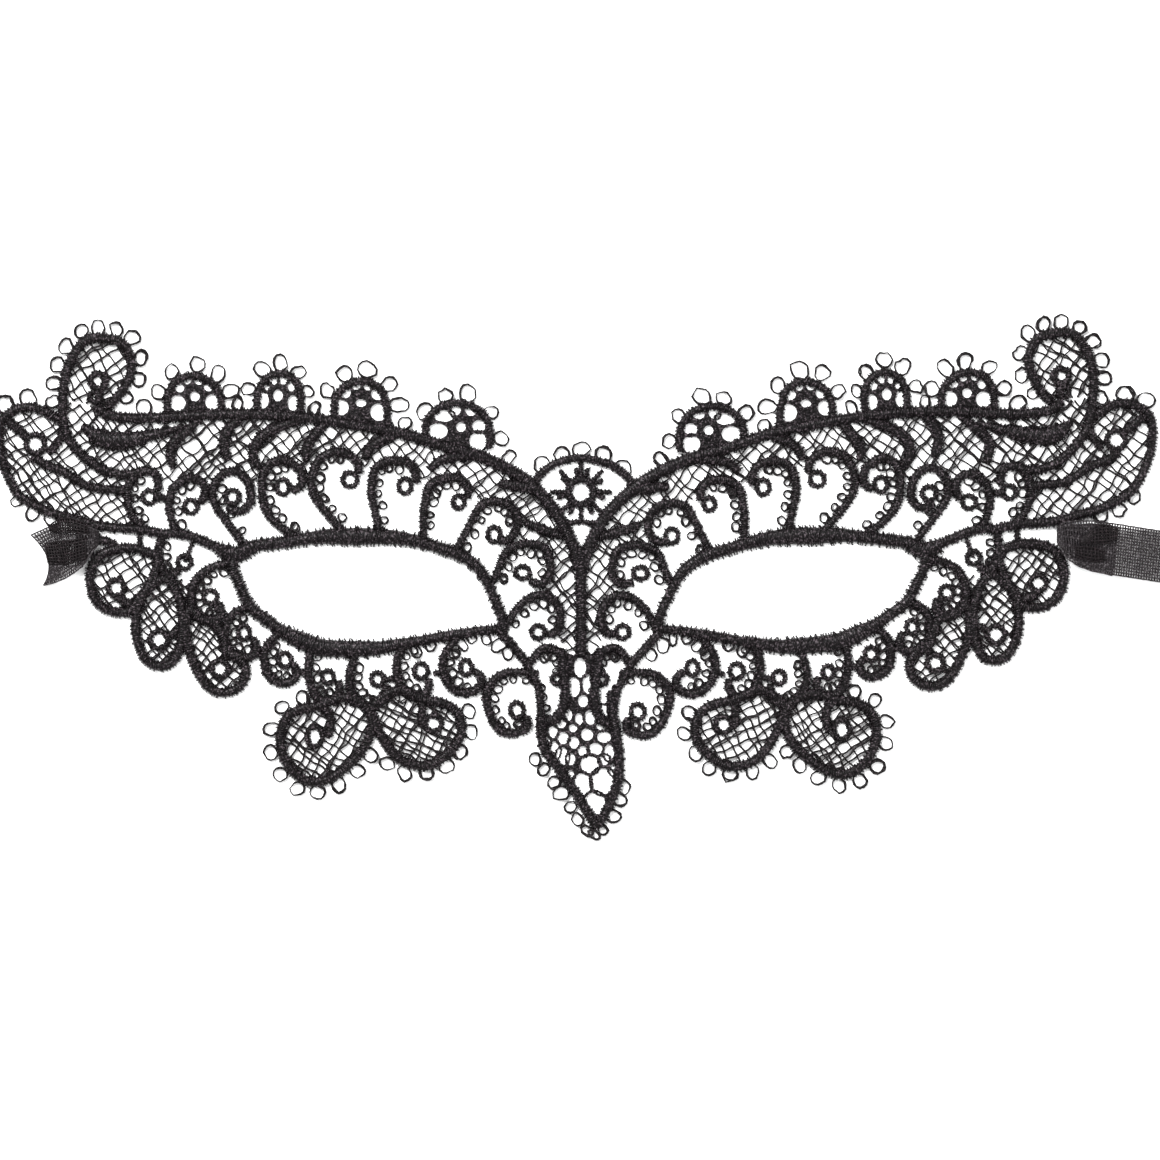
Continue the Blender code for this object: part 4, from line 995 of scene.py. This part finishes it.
def thread_material(name, dark, light, roughness, sheen):
    """Dark thread: its colour wanders between dark and light from stitch to stitch, the light specks being
    painted glints, with a fine twist.
    """
    material = bpy.data.materials.new(name)
    material.use_nodes = True
    nodes, links = material.node_tree.nodes, material.node_tree.links
    shader = nodes["Principled BSDF"]
    place = nodes.new("ShaderNodeTexCoord")
    painted_glint_speckle = nodes.new("ShaderNodeTexNoise")
    painted_glint_speckle.inputs["Scale"].default_value = 2300
    painted_glint_speckle.inputs["Detail"].default_value = 2
    links.new(place.outputs["Object"], painted_glint_speckle.inputs["Vector"])
    # painted glints: where the noise is high the dark thread colour turns to the light one
    ramp = nodes.new("ShaderNodeValToRGB")
    ramp.color_ramp.elements[0].position = 0.54
    ramp.color_ramp.elements[0].color = (*dark, 1)
    ramp.color_ramp.elements[1].position = 0.70
    ramp.color_ramp.elements[1].color = (*light, 1)
    links.new(painted_glint_speckle.outputs["Fac"], ramp.inputs["Fac"])
    links.new(ramp.outputs["Color"], shader.inputs["Base Color"])
    shine = nodes.new("ShaderNodeMapRange")
    shine.inputs["From Min"].default_value = 0.35
    shine.inputs["From Max"].default_value = 0.65
    shine.inputs["To Min"].default_value = roughness + 0.15
    shine.inputs["To Max"].default_value = roughness - 0.15
    links.new(painted_glint_speckle.outputs["Fac"], shine.inputs["Value"])
    links.new(shine.outputs["Result"], shader.inputs["Roughness"])
    twist = nodes.new("ShaderNodeTexNoise")
    twist.inputs["Scale"].default_value = 9000
    links.new(place.outputs["Object"], twist.inputs["Vector"])
    bump = nodes.new("ShaderNodeBump")
    bump.inputs["Strength"].default_value = 0.4
    bump.inputs["Distance"].default_value = 0.00006
    links.new(twist.outputs["Fac"], bump.inputs["Height"])
    links.new(bump.outputs["Normal"], shader.inputs["Normal"])
    shader.inputs["Specular IOR Level"].default_value = 0.12
    shader.inputs["Sheen Weight"].default_value = sheen
    shader.inputs["Sheen Roughness"].default_value = 0.4
    return material


def make_floor():
    bpy.ops.mesh.primitive_plane_add(size=4)
    floor = bpy.context.active_object
    floor.name = "table_top"
    material = bpy.data.materials.new("table_top")
    material.use_nodes = True
    shader = material.node_tree.nodes["Principled BSDF"]
    shader.inputs["Base Color"].default_value = (0.86, 0.86, 0.86, 1)
    shader.inputs["Roughness"].default_value = 0.9
    shader.inputs["Specular IOR Level"].default_value = 0.1
    floor.data.materials.append(material)


def make_light():
    world = bpy.data.worlds.new("studio")
    bpy.context.scene.world = world
    world.use_nodes = True
    background = world.node_tree.nodes["Background"]
    background.inputs["Color"].default_value = (1, 1, 1, 1)
    background.inputs["Strength"].default_value = 1.0
    for name, place, size, power in (
        ("key", (-0.35, 0.5, 0.9), 0.35, 24),
        ("fill", (0.7, -0.3, 0.8), 0.9, 8),
    ):
        lamp = bpy.data.lights.new(name, "AREA")
        lamp.size = size
        lamp.energy = power
        held = bpy.data.objects.new(name, lamp)
        held.location = place
        held.rotation_euler = Vector((-place[0], -place[1], -place[2])).to_track_quat("-Z", "Y").to_euler()
        bpy.context.scene.collection.objects.link(held)


def make_camera():
    """The photograph's view: straight down, framing FRAME_STEPS steps each way."""
    camera = bpy.data.cameras.new("camera")
    camera.lens = 200
    camera.clip_start, camera.clip_end = 0.05, 10
    distance = FRAME_STEPS * STEP * camera.lens / camera.sensor_width
    held = bpy.data.objects.new("camera", camera)
    held.location = (FRAME_CENTRE[0] * STEP_OUT, FRAME_CENTRE[1] * STEP_UP, distance)
    bpy.context.scene.collection.objects.link(held)
    bpy.context.scene.camera = held


def dress():
    # the light colours of these threads are painted glints, dimmer on the nets and picots
    lace = thread_material("lace_thread", (0.0016, 0.0009, 0.0012), (0.0820, 0.0670, 0.0750), 0.42, 0.01)
    fine = thread_material("fine_thread", (0.0018, 0.0012, 0.0014), (0.0240, 0.0180, 0.0200), 0.5, 0.0)
    # painted shade: a darker cloth for the strips folded over the ribbons
    painted_shade_cloth = thread_material("ribbon_painted_shade", (0.0030, 0.0018, 0.0022), (0.0200, 0.0140, 0.0160), 0.55, 0.0)
    cloth = thread_material("ribbon_weave", (0.010, 0.008, 0.009), (0.075, 0.068, 0.072), 0.42, 0.05)
    pieces = [
        make_cords({"brow", "curl", "stem", "lobe", "lobe_tail", "lobe_side", "wing_rib",
                    "petal_bride", "rim_side", "bridge"}, lace, "brow_and_wing_cords"),
        make_cords({"leaf"} | {feather.name for feather in FEATHERS}, lace, "leaf_and_feathers", 0.35),
        make_rims(lace), make_scrolls(lace), make_petals(lace), *make_rosettes(lace),
        make_centre_rosette(lace), *make_nose(lace), make_nets(fine), make_picots(fine), make_bars(lace),
    ]
    for piece in pieces:
        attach(piece, "root")
    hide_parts("lace_mask")
    for name, upper, lower, shade_tucks, side in (
        ("ribbon_tie_left", LEFT_UPPER, LEFT_LOWER, LEFT_SHADE_TUCKS, -1),
        ("ribbon_tie_right", RIGHT_UPPER, RIGHT_LOWER, RIGHT_SHADE_TUCKS, 1),
    ):
        weft, warp, shade_tuck_threads, length = make_ribbon(upper, lower, shade_tucks, side, name, cloth, painted_shade_cloth)
        for piece in (weft, warp, shade_tuck_threads):
            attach(piece, "root")
        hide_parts(name)


def main():
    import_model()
    make_camera()
    dress()
    make_floor()
    make_light()
    bpy.context.scene.view_settings.view_transform = "Standard"


main()
